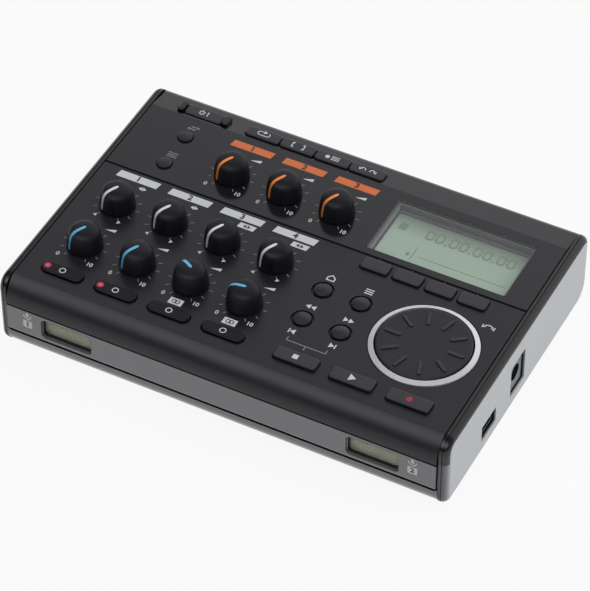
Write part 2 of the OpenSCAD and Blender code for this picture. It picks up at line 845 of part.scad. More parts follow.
// Cheek of the right side without its openings
module plain_cheek() {
    flange_y = case_d / 2 - rear_low_r - lip_r;
    difference() {
        cheek_plate();
        along_x(panel_half - eps, case_w / 2 + eps) rail_profile();
    }
    block(
        [panel_half - cheek_flange, -flange_y, floor_top],
        [panel_half + eps, flange_y, floor_top + wall / 2]);
}

module edge_rails() {
    color(gloss_black)
        for (s = [0, 1]) mirror([s, 0, 0]) intersection() {
            cheek_plate();
            along_x(panel_half, case_w / 2) rail_profile();
        }
}

module left_cheek() {
    color(silver_paint) difference() {
        mirror([1, 0, 0]) plain_cheek();
        block(
            [-case_w, card_y - card_w / 2 - 2 * card_room, card_z - 2 * card_room],
            [-panel_half + eps, card_y + card_w / 2 + 2 * card_room, card_z + card_t + 2 * card_room]);
    }
}

module right_cheek() {
    color(silver_paint) difference() {
        plain_cheek();
        along_x(panel_half - eps, case_w)
            outline(
                [usb_y - usb_w / 2 - usb_head, usb_y + usb_w / 2 + usb_head, cut_low, usb_high + usb_head],
                four(cut_r));
        along_x(panel_half - eps, case_w)
            outline(
                [dc_y - dc_w / 2 - socket_room, dc_y + dc_w / 2 + socket_room, cut_low, board_z + seam],
                four(cut_r));
    }
}

// Profile of the bottom cover: lip, floor and low rear wall
module tray_profile() {
    tray_box = [front_y + seam, rear_y, floor_z, panel_z];
    tray_radii = [lip_r, lip_r, rear_low_r, rear_low_r];
    intersection() {
        difference() {
            outline(tray_box, tray_radii);
            outline(inset(tray_box, wall), [for (r = tray_radii) r - wall]);
        }
        union() {
            translate([front_y, floor_z]) square([case_d / 2, lip_h]);
            translate([front_y + case_d / 2, floor_z]) square([case_d / 2, rear_low_h]);
        }
    }
}

// Ribs inside the bottom cover that back the fascia and the jack panel and carry the side board
module tray_ribs() {
    rib = 1.5;
    rib_lap = 2;
    fascia_rib = mic_x - mic_w / 2 - 2 * rib;
    block([-fascia_rib, fascia_back, floor_top - eps], [fascia_rib, fascia_back + rib, fascia_high]);
    for (x = [[-panel_half, input_x(0) - jack_w], [phones_x + phones_w, panel_half]])
        block([x[0], rear_in - rib, floor_top - eps], [x[1], rear_in, rear_plate_z + rib_lap]);
    for (y = [usb_y - usb_w / 2, dc_y + dc_w / 2])
        block(
            [socket_face - dc_l, y - rib / 2, floor_top - eps],
            [side_board_x, y + rib / 2, side_board_z]);
}

module bottom_cover() {
    color(dark_silver) difference() {
        union() {
            difference() {
                along_x(-panel_half, panel_half) tray_profile();
                block(
                    [-door_half_x - door_gap, bay_y - door_half_y - door_gap, floor_z - eps],
                    [door_half_x + door_gap, bay_y + door_half_y + door_gap, floor_top + eps]);
            }
            difference() {
                block(
                    [-bay_half_x - bay_wall, bay_y - bay_half_y - bay_wall, door_top + flange_gap],
                    [bay_half_x + bay_wall, bay_y + bay_half_y + bay_wall, bay_top]);
                block(
                    [-bay_half_x, bay_y - bay_half_y, floor_z],
                    [bay_half_x, bay_y + bay_half_y, bay_top - bay_roof]);
            }
            for (p = screw_spots) post(p, floor_top - eps, board_z, post_r);
            tray_ribs();
        }
        for (p = screw_spots) post(p, floor_z - eps, board_z + eps, screw_d / 2 + screw_room);
        for (p = screw_spots) post(p, floor_z - eps, head_seat, screw_head_d / 2 + screw_room);
        for (p = foot_spots) post(p, floor_z - eps, floor_z + foot_seat, foot_d / 2 + shaft_fit);
    }
}

module rear_panel() {
    color(dark_silver) along_y(rear_in, rear_y) difference() {
        translate([-cover_half, rear_plate_z]) square([2 * cover_half, skirt_z - seam - rear_plate_z]);
        for (i = [0:1]) translate([input_x(i), jack_z]) circle(jack_nose_d / 2 + nose_fit);
        translate([phones_x, phones_z]) circle(phones_nose_d / 2 + nose_fit);
    }
}

module front_fascia() {
    color(dark_silver) difference() {
        block([-cover_half, front_y, fascia_low], [cover_half, fascia_back, fascia_high]);
        for (s = [-1, 1]) {
            along_y(front_y - eps, front_y + mic_step) oblong([s * mic_x, mic_z], mic_w, mic_h, mic_r);
            along_y(front_y, fascia_back + eps)
                oblong([s * mic_x, mic_z], mic_w - 2 * mic_ledge, mic_h - 2 * mic_ledge, mic_r - mic_ledge);
        }
    }
}

module mic_screens() {
    color("#6e6e66")
        for (s = [-1, 1])
            along_y(fascia_back, fascia_back + screen_t) oblong([s * mic_x, mic_z], mic_w, mic_h, mic_r);
}

module mic_capsules() {
    color(steel)
        for (s = [-1, 1])
            translate([s * mic_x, fascia_back + screen_t + flange_gap, mic_z])
                rotate([-90, 0, 0]) cylinder(h = capsule_l, d = capsule_d);
}

module display_window() {
    color("#9aa09a", 0.4)
        translate([0, 0, panel_z - window_t]) linear_extrude(window_t)
            window_outline(-shaft_fit, key_r);
}

module lcd_module() {
    lcd_top = board_top + lcd_h;
    glass_at = window_at + [0, -lcd_rim / 2];
    glass = [window_w - 2 * glass_side, window_d - 2 * glass_end];
    color("#9a9c9a") difference() {
        translate([0, 0, board_top]) linear_extrude(lcd_h)
            window_outline(lcd_rim, key_r);
        translate([0, 0, lcd_top - glass_t]) linear_extrude(glass_t + eps)
            oblong(glass_at, glass[0] + 2 * shaft_fit, glass[1] + 2 * shaft_fit, key_r);
    }
    color("#a5b2a0") translate([0, 0, lcd_top - glass_t]) linear_extrude(glass_t - flange_gap)
        oblong(glass_at, glass[0], glass[1], key_r);
}

module wheel_ring() {
    collar_r = ring_in + collar_t;
    color("#d8dadb") translate([wheel_at[0], wheel_at[1], 0]) rotate_extrude($fn = 96)
        polygon([
            [ring_in, under_z], [collar_r, under_z], [collar_r, panel_z - ring_seat],
            [ring_r, panel_z - ring_seat], [ring_r, panel_z + ring_low], [ring_in, panel_z + ring_high]]);
}

module wheel_encoder() {
    color("#3b3d42") difference() {
        translate([0, 0, board_top]) linear_extrude(encoder_h)
            oblong(wheel_at, encoder_w, encoder_w, key_r);
        post(wheel_at, bore_floor, board_top + encoder_h + eps, shaft_d / 2 + shaft_fit);
    }
}

// Round-ended rib on the wheel's top
module wheel_rib(z) {
    translate([0, 0, z - eps])
        soft_plate(
            [rib_r0, rib_r1, -rib_w / 2, rib_w / 2],
            four((rib_w - pill_flat) / 2), rib_t + eps, rib_edge);
}

module data_wheel() {
    wheel_low = under_z + flange_w;
    wheel_top = panel_z + wheel_proud;
    h = wheel_top - wheel_low;
    color(knob_black) translate([wheel_at[0], wheel_at[1], 0]) {
        translate([0, 0, wheel_low]) rotate_extrude($fn = 96) {
            square([wheel_r - key_edge, h]);
            square([wheel_r, h - key_edge]);
            translate([wheel_r - key_edge, h - key_edge]) circle(key_edge);
        }
        for (i = [0:rib_count - 1]) rotate([0, 0, i * 360 / rib_count]) wheel_rib(wheel_top);
        translate([0, 0, shaft_tip]) cylinder(h = wheel_low - shaft_tip + eps, d = shaft_d);
    }
}

// Turned knob with a tapered side, a rounded edge, a crowned top and its own shaft
module knob(p) {
    h = knob_h - knob_gap;
    foot = [knob_d / 2, 0];
    up_side = unit([knob_top_d / 2, h] - foot);
    inward = [-up_side[1], up_side[0]];
    crown_at = [0, h - knob_crown_r];
    start = foot + (knob_fillet - edge_sink) * inward - crown_at;
    reach = knob_crown_r - knob_fillet + edge_sink;
    climb = -start * up_side + sqrt(pow(start * up_side, 2) - start * start + reach * reach);
    edge_at = crown_at + start + climb * up_side;
    rim = crown_at + knob_crown_r / reach * (edge_at - crown_at) + [0, knob_fillet];
    color(knob_black) translate([p[0], p[1], 0]) {
        translate([0, 0, panel_z + knob_gap]) rotate_extrude() intersection() {
            union() {
                polygon([[0, 0], foot, foot + climb * up_side, edge_at, rim, [0, rim[1]]]);
                translate(edge_at) circle(knob_fillet);
            }
            translate(crown_at) circle(knob_crown_r, $fn = 256);
            square([knob_d / 2, h]);
        }
        translate([0, 0, shaft_tip]) cylinder(h = panel_z + knob_gap - shaft_tip + eps, d = shaft_d);
    }
}

module potentiometers() {
    color("#4a4d55")
        for (p = knob_spots) difference() {
            translate([0, 0, board_top]) linear_extrude(pot_h) oblong(p, pot_w, pot_w, key_r);
            post(p, bore_floor, board_top + pot_h + eps, shaft_d / 2 + shaft_fit);
        }
}

module tact_switches() {
    color("#3d3f44")
        for (p = key_spots) {
            translate([0, 0, board_top]) linear_extrude(switch_h) oblong(p, switch_w, switch_w, key_r);
            post(p, board_top + switch_h - eps, switch_top, switch_btn_d / 2);
        }
}

// Oblong key: cap with a rounded edge, retaining flange and plunger
module oblong_key(p, size) {
    cap_z = flange_z + flange_t;
    translate([0, 0, cap_z])
        soft_plate(box_at(p, size[0], size[1]), four(size[2]), panel_z + size[3] - cap_z, key_edge);
    translate([0, 0, flange_z]) linear_extrude(flange_t)
        oblong(p, size[0] - 2 * flange_w, size[1] + 2 * flange_w, key_r);
    post(p, plunger_z, flange_z + eps, plunger_d / 2);
}

// Round key: crowned cap, retaining flange and plunger
module round_key(p, d, proud, crown) {
    cap_z = flange_z + flange_t;
    translate([p[0], p[1], cap_z - eps]) crowned_disc(d / 2, panel_z + proud - cap_z + eps, crown);
    post(p, flange_z, cap_z, d / 2 + flange_w);
    post(p, plunger_z, flange_z + eps, plunger_d / 2);
}

module track_button(i) {
    color(panel_black) oblong_key(track_key_at(i), track_key);
}

module transport_button(i) {
    color(knob_black) oblong_key(transport_at(i), transport_key);
}

module soft_button(i) {
    color(knob_black) oblong_key(soft_at(i), soft_key);
}

module function_button(i) {
    color(knob_black) oblong_key(function_at(i), function_key);
}

module power_button() {
    color(knob_black) oblong_key(power_at, power_key);
}

module nav_button(i) {
    color(knob_black) round_key(nav_at(i), nav_d, nav_proud, nav_crown);
}

module plain_button(i) {
    color(knob_black) round_key(plain_at(i), plain_d, plain_proud, plain_crown);
}

module circuit_boards() {
    edge_x = cover_half - end_wall - board_room;
    color(board_green) {
        difference() {
            block(
                [-edge_x, fascia_back + capsule_l + screen_t, board_z],
                [edge_x, strip_cy - board_room, board_top]);
            for (p = screw_spots) post(p, board_z - eps, board_top + eps, screw_d / 2 + screw_room);
        }
        block(
            [bay_half_x + bay_wall + side_gap, usb_y - usb_w, side_board_z],
            [side_board_x, dc_y + dc_w, side_board_top]);
    }
}

// Jack with a block body under the board, a nose through the rear panel and a plug bore
module jack(x, z, w, l, nose_d, bore, proud) {
    difference() {
        union() {
            block([x - w / 2, rear_in - l, 2 * z - board_z], [x + w / 2, rear_in, board_z]);
            translate([x, rear_in - eps, z]) rotate([-90, 0, 0]) cylinder(h = wall + proud + eps, d = nose_d);
        }
        translate([x, rear_in - l + wall, z]) rotate([-90, 0, 0]) cylinder(h = l + proud + eps, d = bore);
    }
}

module rear_jacks() {
    color("#2a2b2e") {
        for (i = [0:1]) jack(input_x(i), jack_z, jack_w, jack_l, jack_nose_d, jack_bore, nut_proud);
        jack(phones_x, phones_z, phones_w, phones_l, phones_nose_d, phones_bore, phones_proud);
    }
    color(steel)
        for (i = [0:1]) along_y(rear_y, rear_y + nut_proud) difference() {
            translate([input_x(i), jack_z]) circle(d = nut_d, $fn = 6);
            translate([input_x(i), jack_z]) circle(jack_nose_d / 2 + shaft_fit);
        }
}

module dc_jack() {
    axis_z = (side_board_top + board_z) / 2;
    color("#8b8d90") {
        difference() {
            block(
                [socket_face - dc_l, dc_y - dc_w / 2, side_board_top],
                [socket_face, dc_y + dc_w / 2, board_z]);
            translate([socket_face - dc_bore_l, dc_y, axis_z])
                rotate([0, 90, 0]) cylinder(h = dc_bore_l + eps, d = dc_bore);
        }
        translate([socket_face - dc_bore_l - eps, dc_y, axis_z])
            rotate([0, 90, 0]) cylinder(h = dc_bore_l - socket_set, d = dc_pin_d);
    }
}

module usb_port() {
    tongue_t = 0.9;
    back_t = 2;
    mouth = inset([usb_y - usb_w / 2, usb_y + usb_w / 2, usb_low, usb_high], usb_skin);
    color(steel) {
        difference() {
            block(
                [socket_face - usb_l, usb_y - usb_w / 2, usb_low],
                [socket_face, usb_y + usb_w / 2, usb_high]);
            block(
                [socket_face - usb_l + back_t, mouth[0], mouth[2]],
                [socket_face + eps, mouth[1], mouth[3]]);
        }
        block(
            [socket_face - usb_l + back_t - eps, mouth[0] + tongue_t, mouth[3] - 2 * tongue_t],
            [socket_face - socket_set, mouth[1] - tongue_t, mouth[3] - tongue_t]);
        block(
            [socket_face - usb_l, usb_y - usb_w / 2, side_board_top],
            [side_board_x, usb_y + usb_w / 2, usb_low + eps]);
    }
}

// Flat outline of the memory card with its cut corner
module card_outline() {
    y0 = card_y - card_w / 2;
    y1 = card_y + card_w / 2;
    x1 = card_x0 + card_l;
    polygon([[card_x0, y0], [x1, y0], [x1, y1 - card_cut], [x1 - card_cut, y1], [card_x0, y1]]);
}

module sd_card() {
    color("#23355c") translate([0, 0, card_z]) linear_extrude(card_t) card_outline();
}

module sd_socket() {
    half = card_w / 2 + card_room;
    color(steel) difference() {
        block(
            [socket_x0, card_y - half - card_shell, card_z - card_room - card_shell],
            [card_x0 + card_l + card_room + card_shell, card_y + half + card_shell, board_z]);
        block(
            [socket_x0 - eps, card_y - half, card_z - card_room],
            [card_x0 + card_l + card_room, card_y + half, card_z + card_t + card_room]);
    }
}

// One cell lying along X with its nub to the right
module cell(x, y) {
    translate([x, y, cell_z]) rotate([0, 90, 0]) cylinder(h = cell_l - nub_l, d = cell_d);
    translate([x + cell_l - nub_l - eps, y, cell_z]) rotate([0, 90, 0]) cylinder(h = nub_l + eps, d = nub_d);
}

module batteries() {
    color("#4f6f9a")
        for (row = [-1, 1], x = [-cell_l, 0]) cell(x, bay_y + row * row_pitch / 2);
}

module battery_contacts() {
    tall = cell_d * 0.7;
    wide = cell_d * 0.6;
    color(steel)
        for (row = [-1, 1], s = [-1, 1])
            translate([s * (bay_half_x - contact_t / 2), bay_y + row * row_pitch / 2, cell_z])
                cube([contact_t, wide, tall], center = true);
}

module battery_door() {
    grip_pitch = 1.6;
    grip_w = 0.7;
    grip_t = 0.5;
    grip_half = 7;
    grip_y = bay_y - door_half_y + 2 * grip_pitch;
    color(dark_silver) difference() {
        translate([0, 0, floor_z]) linear_extrude(door_t)
            oblong([0, bay_y], 2 * door_half_x, 2 * door_half_y, key_r);
        for (i = [0:4])
            block(
                [-grip_half, grip_y + i * grip_pitch, floor_z - eps],
                [grip_half, grip_y + grip_w + i * grip_pitch, floor_z + grip_t]);
    }
}

module feet() {
    color("#1c1c1e")
        for (p = foot_spots) translate([p[0], p[1], 0]) rotate_extrude() intersection() {
            square([foot_d / 2, foot_h + foot_seat]);
            union() {
                translate([0, key_edge]) square([foot_d / 2, foot_h + foot_seat]);
                square([foot_d / 2 - key_edge, foot_h]);
                translate([foot_d / 2 - key_edge, key_edge]) circle(key_edge);
            }
        }
}

module screws() {
    slot_w = 0.7;
    slot_t = 0.6;
    color(steel)
        for (p = screw_spots) difference() {
            union() {
                post(p, head_seat - screw_head_h, head_seat, screw_head_d / 2);
                post(p, head_seat - eps, screw_tip, screw_d / 2);
            }
            for (turn = [0, 90])
                translate([p[0], p[1], head_seat - screw_head_h]) rotate([0, 0, turn])
                    cube([screw_head_d * 0.6, slot_w, 2 * slot_t], center = true);
        }
}

top_cover();
edge_rails();
left_cheek();
right_cheek();
bottom_cover();
rear_panel();
front_fascia();
mic_screens();
mic_capsules();
display_window();
lcd_module();
wheel_ring();
wheel_encoder();
circuit_boards();
potentiometers();
tact_switches();
rear_jacks();
dc_jack();
usb_port();
sd_socket();
batteries();
battery_contacts();
feet();
screws();
battery_door();
sd_card();
data_wheel();
power_button();
for (i = [0:2]) knob(input_at(i));
for (i = [0:3]) knob(pan_at(i));
for (i = [0:3]) knob(level_at(i));
for (i = [0:3]) function_button(i);
for (i = [0:1]) plain_button(i);
for (i = [0:3]) nav_button(i);
for (i = [0:2]) transport_button(i);
for (i = [0:3]) track_button(i);
for (i = [0:3]) soft_button(i);
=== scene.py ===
# %% [markdown]
# # A palm-size multitrack recorder
# The solids of this recorder come from CAD, each already in its place, in metres. Blender adds what a
# solid model doesn't have: finishes, printed marks, the pointers on the knobs, the picture on the display,
# the woven microphone screens, and the light and camera of the photograph.
# Everything is measured from the solids, so that a mark stays on its key when the key goes down.

# %% Load the solids
import math

import bmesh
import bpy
from mathutils import Matrix, Quaternion, Vector
from mathutils.bvhtree import BVHTree


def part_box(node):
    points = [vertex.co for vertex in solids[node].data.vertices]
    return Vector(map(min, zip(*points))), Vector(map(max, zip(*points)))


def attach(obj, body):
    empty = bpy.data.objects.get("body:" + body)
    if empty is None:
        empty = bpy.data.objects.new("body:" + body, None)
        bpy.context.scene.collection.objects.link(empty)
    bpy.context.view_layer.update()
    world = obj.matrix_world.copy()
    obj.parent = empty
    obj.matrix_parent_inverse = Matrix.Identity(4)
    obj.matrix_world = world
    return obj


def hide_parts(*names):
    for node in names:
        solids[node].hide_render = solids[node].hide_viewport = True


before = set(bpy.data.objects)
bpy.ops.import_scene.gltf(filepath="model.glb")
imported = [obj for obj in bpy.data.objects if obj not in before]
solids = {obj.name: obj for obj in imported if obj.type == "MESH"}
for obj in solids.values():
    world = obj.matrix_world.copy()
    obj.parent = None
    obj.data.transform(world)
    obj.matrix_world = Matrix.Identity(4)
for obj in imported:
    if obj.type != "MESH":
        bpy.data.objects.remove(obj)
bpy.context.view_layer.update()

scene = bpy.context.scene
MM = 0.001


# %% [markdown]
# ## Measuring the solids
# A print or a pointer needs the middle and the top of the solid that carries it. The box of each solid
# gives both, so no place on a key or knob is typed in twice.
# The display lens lies flush with the panel, so its top is the height of the panel.

# %% Middles and tops
def middle(node):
    """The middle of a solid's box, in mm."""
    low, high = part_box(node)
    return (low + high) / 2 / MM


def top(node):
    """The height of a solid's highest point, in mm."""
    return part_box(node)[1].z / MM


pan_knobs = [f"pan_knob_{n}" for n in range(1, 5)]
level_knobs = [f"level_knob_{n}" for n in range(1, 5)]
input_knobs = ["input_a_knob", "input_b_knob", "master_knob"]
knobs = pan_knobs + level_knobs + input_knobs
track_keys = [f"track_button_{n}" for n in range(1, 5)]
soft_keys = [f"soft_key_{n}" for n in range(1, 5)]
panel_z = top("display_window")
print("panel at", round(panel_z, 2), "mm, knobs up to", round(top("pan_knob_1"), 2), "mm")


# %% [markdown]
# ## Camera
# The photograph looks down on the recorder from the front right with a long lens, which keeps the far
# edge nearly as long as the near one. The camera's place was worked out from points that are easy to find
# in the photograph, such as the knob tops and the corners of the display, and a small roll finishes it.

# %% Place the camera
def linked(name, data):
    """A new object with this data, in the scene."""
    made = bpy.data.objects.new(name, data)
    scene.collection.objects.link(made)
    return made


eye = Vector((342.71, -659.28, 752.65)) * MM
aim = Vector((8.03, -16.98, 27.6)) * MM
roll = math.radians(-0.12)
lens = bpy.data.cameras.new("long_lens")
lens.sensor_width = 36
lens.lens = 202.79
lens.clip_end = 30
camera = linked("camera", lens)
camera.location = eye
camera.rotation_euler = ((aim - eye).to_track_quat("-Z", "Y") @ Quaternion((0, 0, 1), roll)).to_euler()
scene.camera = camera
print("camera", round((aim - eye).length, 3), "m from the panel")


# %% [markdown]
# ## Nodes and colours
# Every material and every Geometry Nodes tree below is made of nodes. One helper adds a node, sets its
# properties, and fills each input with a value or with a link from another node's output.
# Colours are written as sRGB hex values, as a paint program shows them, and Blender works in linear light,
# so one function converts them.

# %% One helper for nodes, one for colours
def add(tree, kind, inputs=None, **settings):
    """Adds a node; an input is given a value, or the socket that feeds it."""
    node = tree.nodes.new(kind)
    for name, value in settings.items():
        setattr(node, name, value)
    for name, value in (inputs or {}).items():
        if isinstance(value, bpy.types.NodeSocket):
            tree.links.new(value, node.inputs[name])
        else:
            node.inputs[name].default_value = value
    return node


def linear(code, shade=1.0):
    """An sRGB hex value as a linear colour, made lighter or darker by a factor."""
    parts = [int(code[i:i + 2], 16) / 255 for i in (1, 3, 5)]
    parts = [c / 12.92 if c <= 0.04045 else ((c + 0.055) / 1.055) ** 2.4 for c in parts]
    return (*[min(c * shade, 1.0) for c in parts], 1.0)


print("panel black in linear light:", [round(c, 4) for c in linear("#18171F")])


# %% [markdown]
# ## Moulded plastic
# Nearly all of the recorder is ABS out of a steel mould. The mould is spark-eroded or polished, and the
# plastic copies it: a fine grain that scatters the shine, or a clear gloss. Over a larger area the colour
# drifts a little, because the plastic flows unevenly.
# One function makes these finishes from a grain size in millimetres. The real grain is about 0.1 mm, which
# is too fine to show at this image size, so it is drawn a few times coarser.

# %% A finish for moulded parts
FLOW_SIZE = 25  # mm between lighter and darker patches


def blank(holder):
    """A new material or world, and its tree without nodes."""
    holder.use_nodes = True
    holder.node_tree.nodes.clear()
    return holder, holder.node_tree


def moulded(name, colour, roughness, grain, relief, drift=0.10, specular=0.5, metallic=0.0, coat=0.0):
    """Plastic from a mould: grain in mm, relief as bump depth in mm, drift as a share of the colour."""
    material, tree = blank(bpy.data.materials.new(name))
    spot = add(tree, "ShaderNodeTexCoord").outputs["Object"]
    grit = add(tree, "ShaderNodeTexNoise",
               {"Vector": spot, "Scale": 1 / (grain * MM), "Detail": 2.0}).outputs[0]
    flow = add(tree, "ShaderNodeTexNoise",
               {"Vector": spot, "Scale": 1 / (FLOW_SIZE * MM), "Detail": 3.0}).outputs[0]
    blend = add(tree, "ShaderNodeMath", {0: grit, 1: flow}, operation="ADD").outputs[0]
    low, high = 0.6, 1.4  # nearly all sums of the two noises lie between these
    share = add(tree, "ShaderNodeMapRange", {0: blend, 1: low, 2: high}).outputs[0]
    tint = add(tree, "ShaderNodeMix", {0: share, 6: linear(colour, 1 - drift), 7: linear(colour, 1 + drift)},
               data_type="RGBA").outputs[2]
    sheen = add(tree, "ShaderNodeMapRange",
                {0: blend, 1: low, 2: high, 3: roughness * 0.88, 4: roughness * 1.12}).outputs[0]
    bump = add(tree, "ShaderNodeBump", {"Height": grit, "Strength": 0.6, "Distance": relief * MM}).outputs[0]
    shader = add(tree, "ShaderNodeBsdfPrincipled",
                 {"Base Color": tint, "Roughness": sheen, "Metallic": metallic, "Normal": bump,
                  "Specular IOR Level": specular, "Coat Weight": coat, "Coat Roughness": 0.08})
    add(tree, "ShaderNodeOutputMaterial", {"Surface": shader.outputs[0]})
    return material


def dress(material, *names):
    """Gives solids a finish."""
    for name in names:
        for slot in solids[name].material_slots:
            slot.material = material
    print(material.name, "on", len(names), "solids")


def place(material):
    """The x, y and z of the point that is shaded."""
    spot = add(material.node_tree, "ShaderNodeTexCoord").outputs["Object"]
    return add(material.node_tree, "ShaderNodeSeparateXYZ", {0: spot}).outputs


def change(material, mask, changes):
    """Gives some of the shader's inputs another value where a mask is 1."""
    tree = material.node_tree
    shader = next(node for node in tree.nodes if node.type == "BSDF_PRINCIPLED")
    for name, value in changes.items():
        socket = shader.inputs[name]
        before = socket.links[0].from_socket if socket.links else socket.default_value
        first, second, kind, out = (6, 7, "RGBA", 2) if socket.type == "RGBA" else (2, 3, "FLOAT", 0)
        mixed = add(tree, "ShaderNodeMix", {0: mask, first: before, second: value}, data_type=kind)
        tree.links.new(mixed.outputs[out], socket)


def repaint(material, changes, *limits):
    """Makes a change where each of the given values lies between its two places in mm."""
    tree, mask = material.node_tree, 1.0
    for value, low, high in limits:
        span = {0: value, 1: (low + high) / 2 * MM, 2: (high - low) / 2 * MM}
        inside = add(tree, "ShaderNodeMath", span, operation="COMPARE").outputs[0]
        mask = add(tree, "ShaderNodeMath", {0: mask, 1: inside}, operation="MULTIPLY").outputs[0]
    change(material, mask, changes)


# %% [markdown]
# ## The black parts
# The rails at the sides are polished, so they mirror the room. Most keys are satin, the round ones are
# duller, and those of the tracks are the darkest. The knobs have a matt, slightly soft coat that feels like
# rubber, with a broad and dim highlight. The wheel is satin, with ribs along its top.

# %% Rails, keys, knobs and wheel
round_keys = [key + "_button" for key in ("home", "menu", "rewind", "forward", "setting", "assign")]
press_keys = [name for name in solids if name.endswith("_button") or name in soft_keys]
dress(moulded("gloss_black_abs", "#151518", 0.12, 0.9, 0.0004, drift=0.06), "edge_rails")
dress(moulded("satin_black_abs_keys", "#2B2A31", 0.38, 0.5, 0.002, specular=0.42), *press_keys)
dress(moulded("matt_black_abs_track_keys", "#131318", 0.42, 0.5, 0.002, specular=0.22), *track_keys)
dress(moulded("dull_black_abs_round_keys", "#232229", 0.44, 0.5, 0.002, specular=0.36), *round_keys)
soft_touch_black = moulded("soft_touch_black_coat", "#121217", 0.48, 0.45, 0.002, specular=0.26)
wheel_black_abs = moulded("satin_black_abs_wheel", "#1E1D24", 0.36, 0.5, 0.0015, specular=0.35)
dress(soft_touch_black, *knobs)
dress(wheel_black_abs, "data_wheel")

# The walls of the wheel's ribs stay rough from the mould and are painted nearly black, as painted shade.
# Their tops are rubbed smooth by fingers and painted lighter, as a painted highlight.
rib_top = top("data_wheel")
rib_height = place(wheel_black_abs)["Z"]
painted_shade_rib_wall = {"Base Color": linear("#08080A"), "Roughness": 0.7}
rubbed_top_painted_highlight = {"Base Color": linear("#2E2D34"), "Roughness": 0.30}
repaint(wheel_black_abs, painted_shade_rib_wall, (rib_height, rib_top - 0.38, rib_top - 0.14))
repaint(wheel_black_abs, rubbed_top_painted_highlight, (rib_height, rib_top - 0.08, rib_top + 1))


# %% [markdown]
# ## The control panel
# The panel is one black moulding with two finishes. In front of the groove it is satin. Behind the groove
# the mould was polished, and the knobs are mirrored in it as dark shapes before the bright wall of the room.
# Both are one material: it compares the place of a point with the groove, and takes one value or the other.

# %% Two finishes on one moulding
groove_y = 9.4
panel_black_abs = moulded("panel_black_abs", "#18171F", 0.34, 0.6, 0.0015, specular=0.42)
polished = {"Roughness": 0.15, "Base Color": linear("#15141B")}
repaint(panel_black_abs, polished, (place(panel_black_abs)["Y"], groove_y, groove_y + 100))
dress(panel_black_abs, "top_cover")


# %% [markdown]
# ## The silver parts
# The side cheeks are ABS with a light silver lacquer, and the front strip, the tray, the rear panel and the
# battery door have a darker one. Metal flakes in the lacquer make it glint a little, so it is partly
# metallic. The darker one has a clear top layer, which gives it a gloss.

# %% Two silver lacquers
silver_lacquer = moulded("silver_lacquer", "#B2B5B8", 0.42, 0.5, 0.001, drift=0.04, metallic=0.15)
graphite_lacquer = moulded("graphite_lacquer", "#64646A", 0.38, 0.5, 0.001, drift=0.05, metallic=0.15,
                           coat=1.0)
dress(graphite_lacquer, "rear_panel", "battery_door")

# Round the front of a cheek the silver is painted darker over a few mm, as painted shade on the rounded front
# edge.
cheek_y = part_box("left_cheek")[0].y / MM
depth, front_shade_depth = place(silver_lacquer)["Y"], 3.0
front_shade = add(silver_lacquer.node_tree, "ShaderNodeMapRange",
           {0: depth, 1: cheek_y * MM, 2: (cheek_y + front_shade_depth) * MM, 3: 1.0, 4: 0.0}).outputs[0]
change(silver_lacquer, front_shade, {"Base Color": linear("#5E5E63")})
dress(silver_lacquer, "left_cheek")

# The walls of the openings and the upper and lower edge of the front strip are painted black without the
# clear coat, as painted shade. A band just above the lower edge is painted lighter and glossier, as a
# painted highlight.
fascia_lacquer = graphite_lacquer.copy()
fascia_lacquer.name = "graphite_lacquer_fascia"
# A black that is painted shade in openings, seams and socket holes; in the data socket it is also its black
# insert.
black_and_painted_shade = {"Base Color": linear("#151517"), "Roughness": 0.5, "Metallic": 0.0}
painted_shade_no_coat = {**black_and_painted_shade, "Coat Weight": 0.0}
fascia_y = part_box("front_fascia")[0].y / MM
fascia_low, fascia_high = (corner.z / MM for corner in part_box("front_fascia"))
wall_shade_from, seam_shade_width, edge_highlight_top = 0.75, 0.03, 0.4  # mm into the walls, at the edges, above the lower edge
# A band just above the lower edge is painted lighter and glossier: a painted highlight on the edge.
painted_edge_highlight = {"Base Color": linear("#86868B"), "Roughness": 0.3}
at = place(fascia_lacquer)
repaint(fascia_lacquer, painted_shade_no_coat, (at["Y"], fascia_y + wall_shade_from, fascia_y + 10))
repaint(fascia_lacquer, painted_shade_no_coat, (at["Z"], fascia_low - 1, fascia_low + seam_shade_width))
repaint(fascia_lacquer, painted_shade_no_coat, (at["Z"], fascia_high - seam_shade_width, fascia_high + 1))
repaint(fascia_lacquer, painted_edge_highlight, (at["Z"], fascia_low + seam_shade_width, fascia_low + edge_highlight_top))
dress(fascia_lacquer, "front_fascia")

# The tray is painted black just under the edge of the lip, as painted shade, which draws a black line under
# the strip.
tray_lacquer = graphite_lacquer.copy()
tray_lacquer.name = "graphite_lacquer_tray"
seam = 0.6
repaint(tray_lacquer, painted_shade_no_coat, (place(tray_lacquer)["Z"], fascia_low - seam - 0.5, fascia_high))
dress(tray_lacquer, "bottom_cover")

# The walls of the two socket openings in the right cheek are painted black too, as painted shade.
cheek_lacquer = silver_lacquer.copy()
cheek_lacquer.name = "silver_lacquer_right_cheek"
side_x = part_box("right_cheek")[1].x / MM
sockets_low, sockets_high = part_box("usb_port")[0].y / MM - 1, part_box("dc_jack")[1].y / MM + 1
at = place(cheek_lacquer)
repaint(cheek_lacquer, black_and_painted_shade, (at["X"], side_x - 10, side_x - 0.5),
        (at["Y"], sockets_low, sockets_high), (at["Z"], 3, panel_z - 3))
dress(cheek_lacquer, "right_cheek")


# %% [markdown]
# ## Metal parts
# Sockets, contacts and screws are stamped or turned and then plated. Plating levels the surface but keeps
# the faint lines of rolling or turning, which stretch the highlights. A noise that is squeezed along one
# axis draws such lines. The ring of the wheel only looks like metal: it is moulded and sprayed silver.

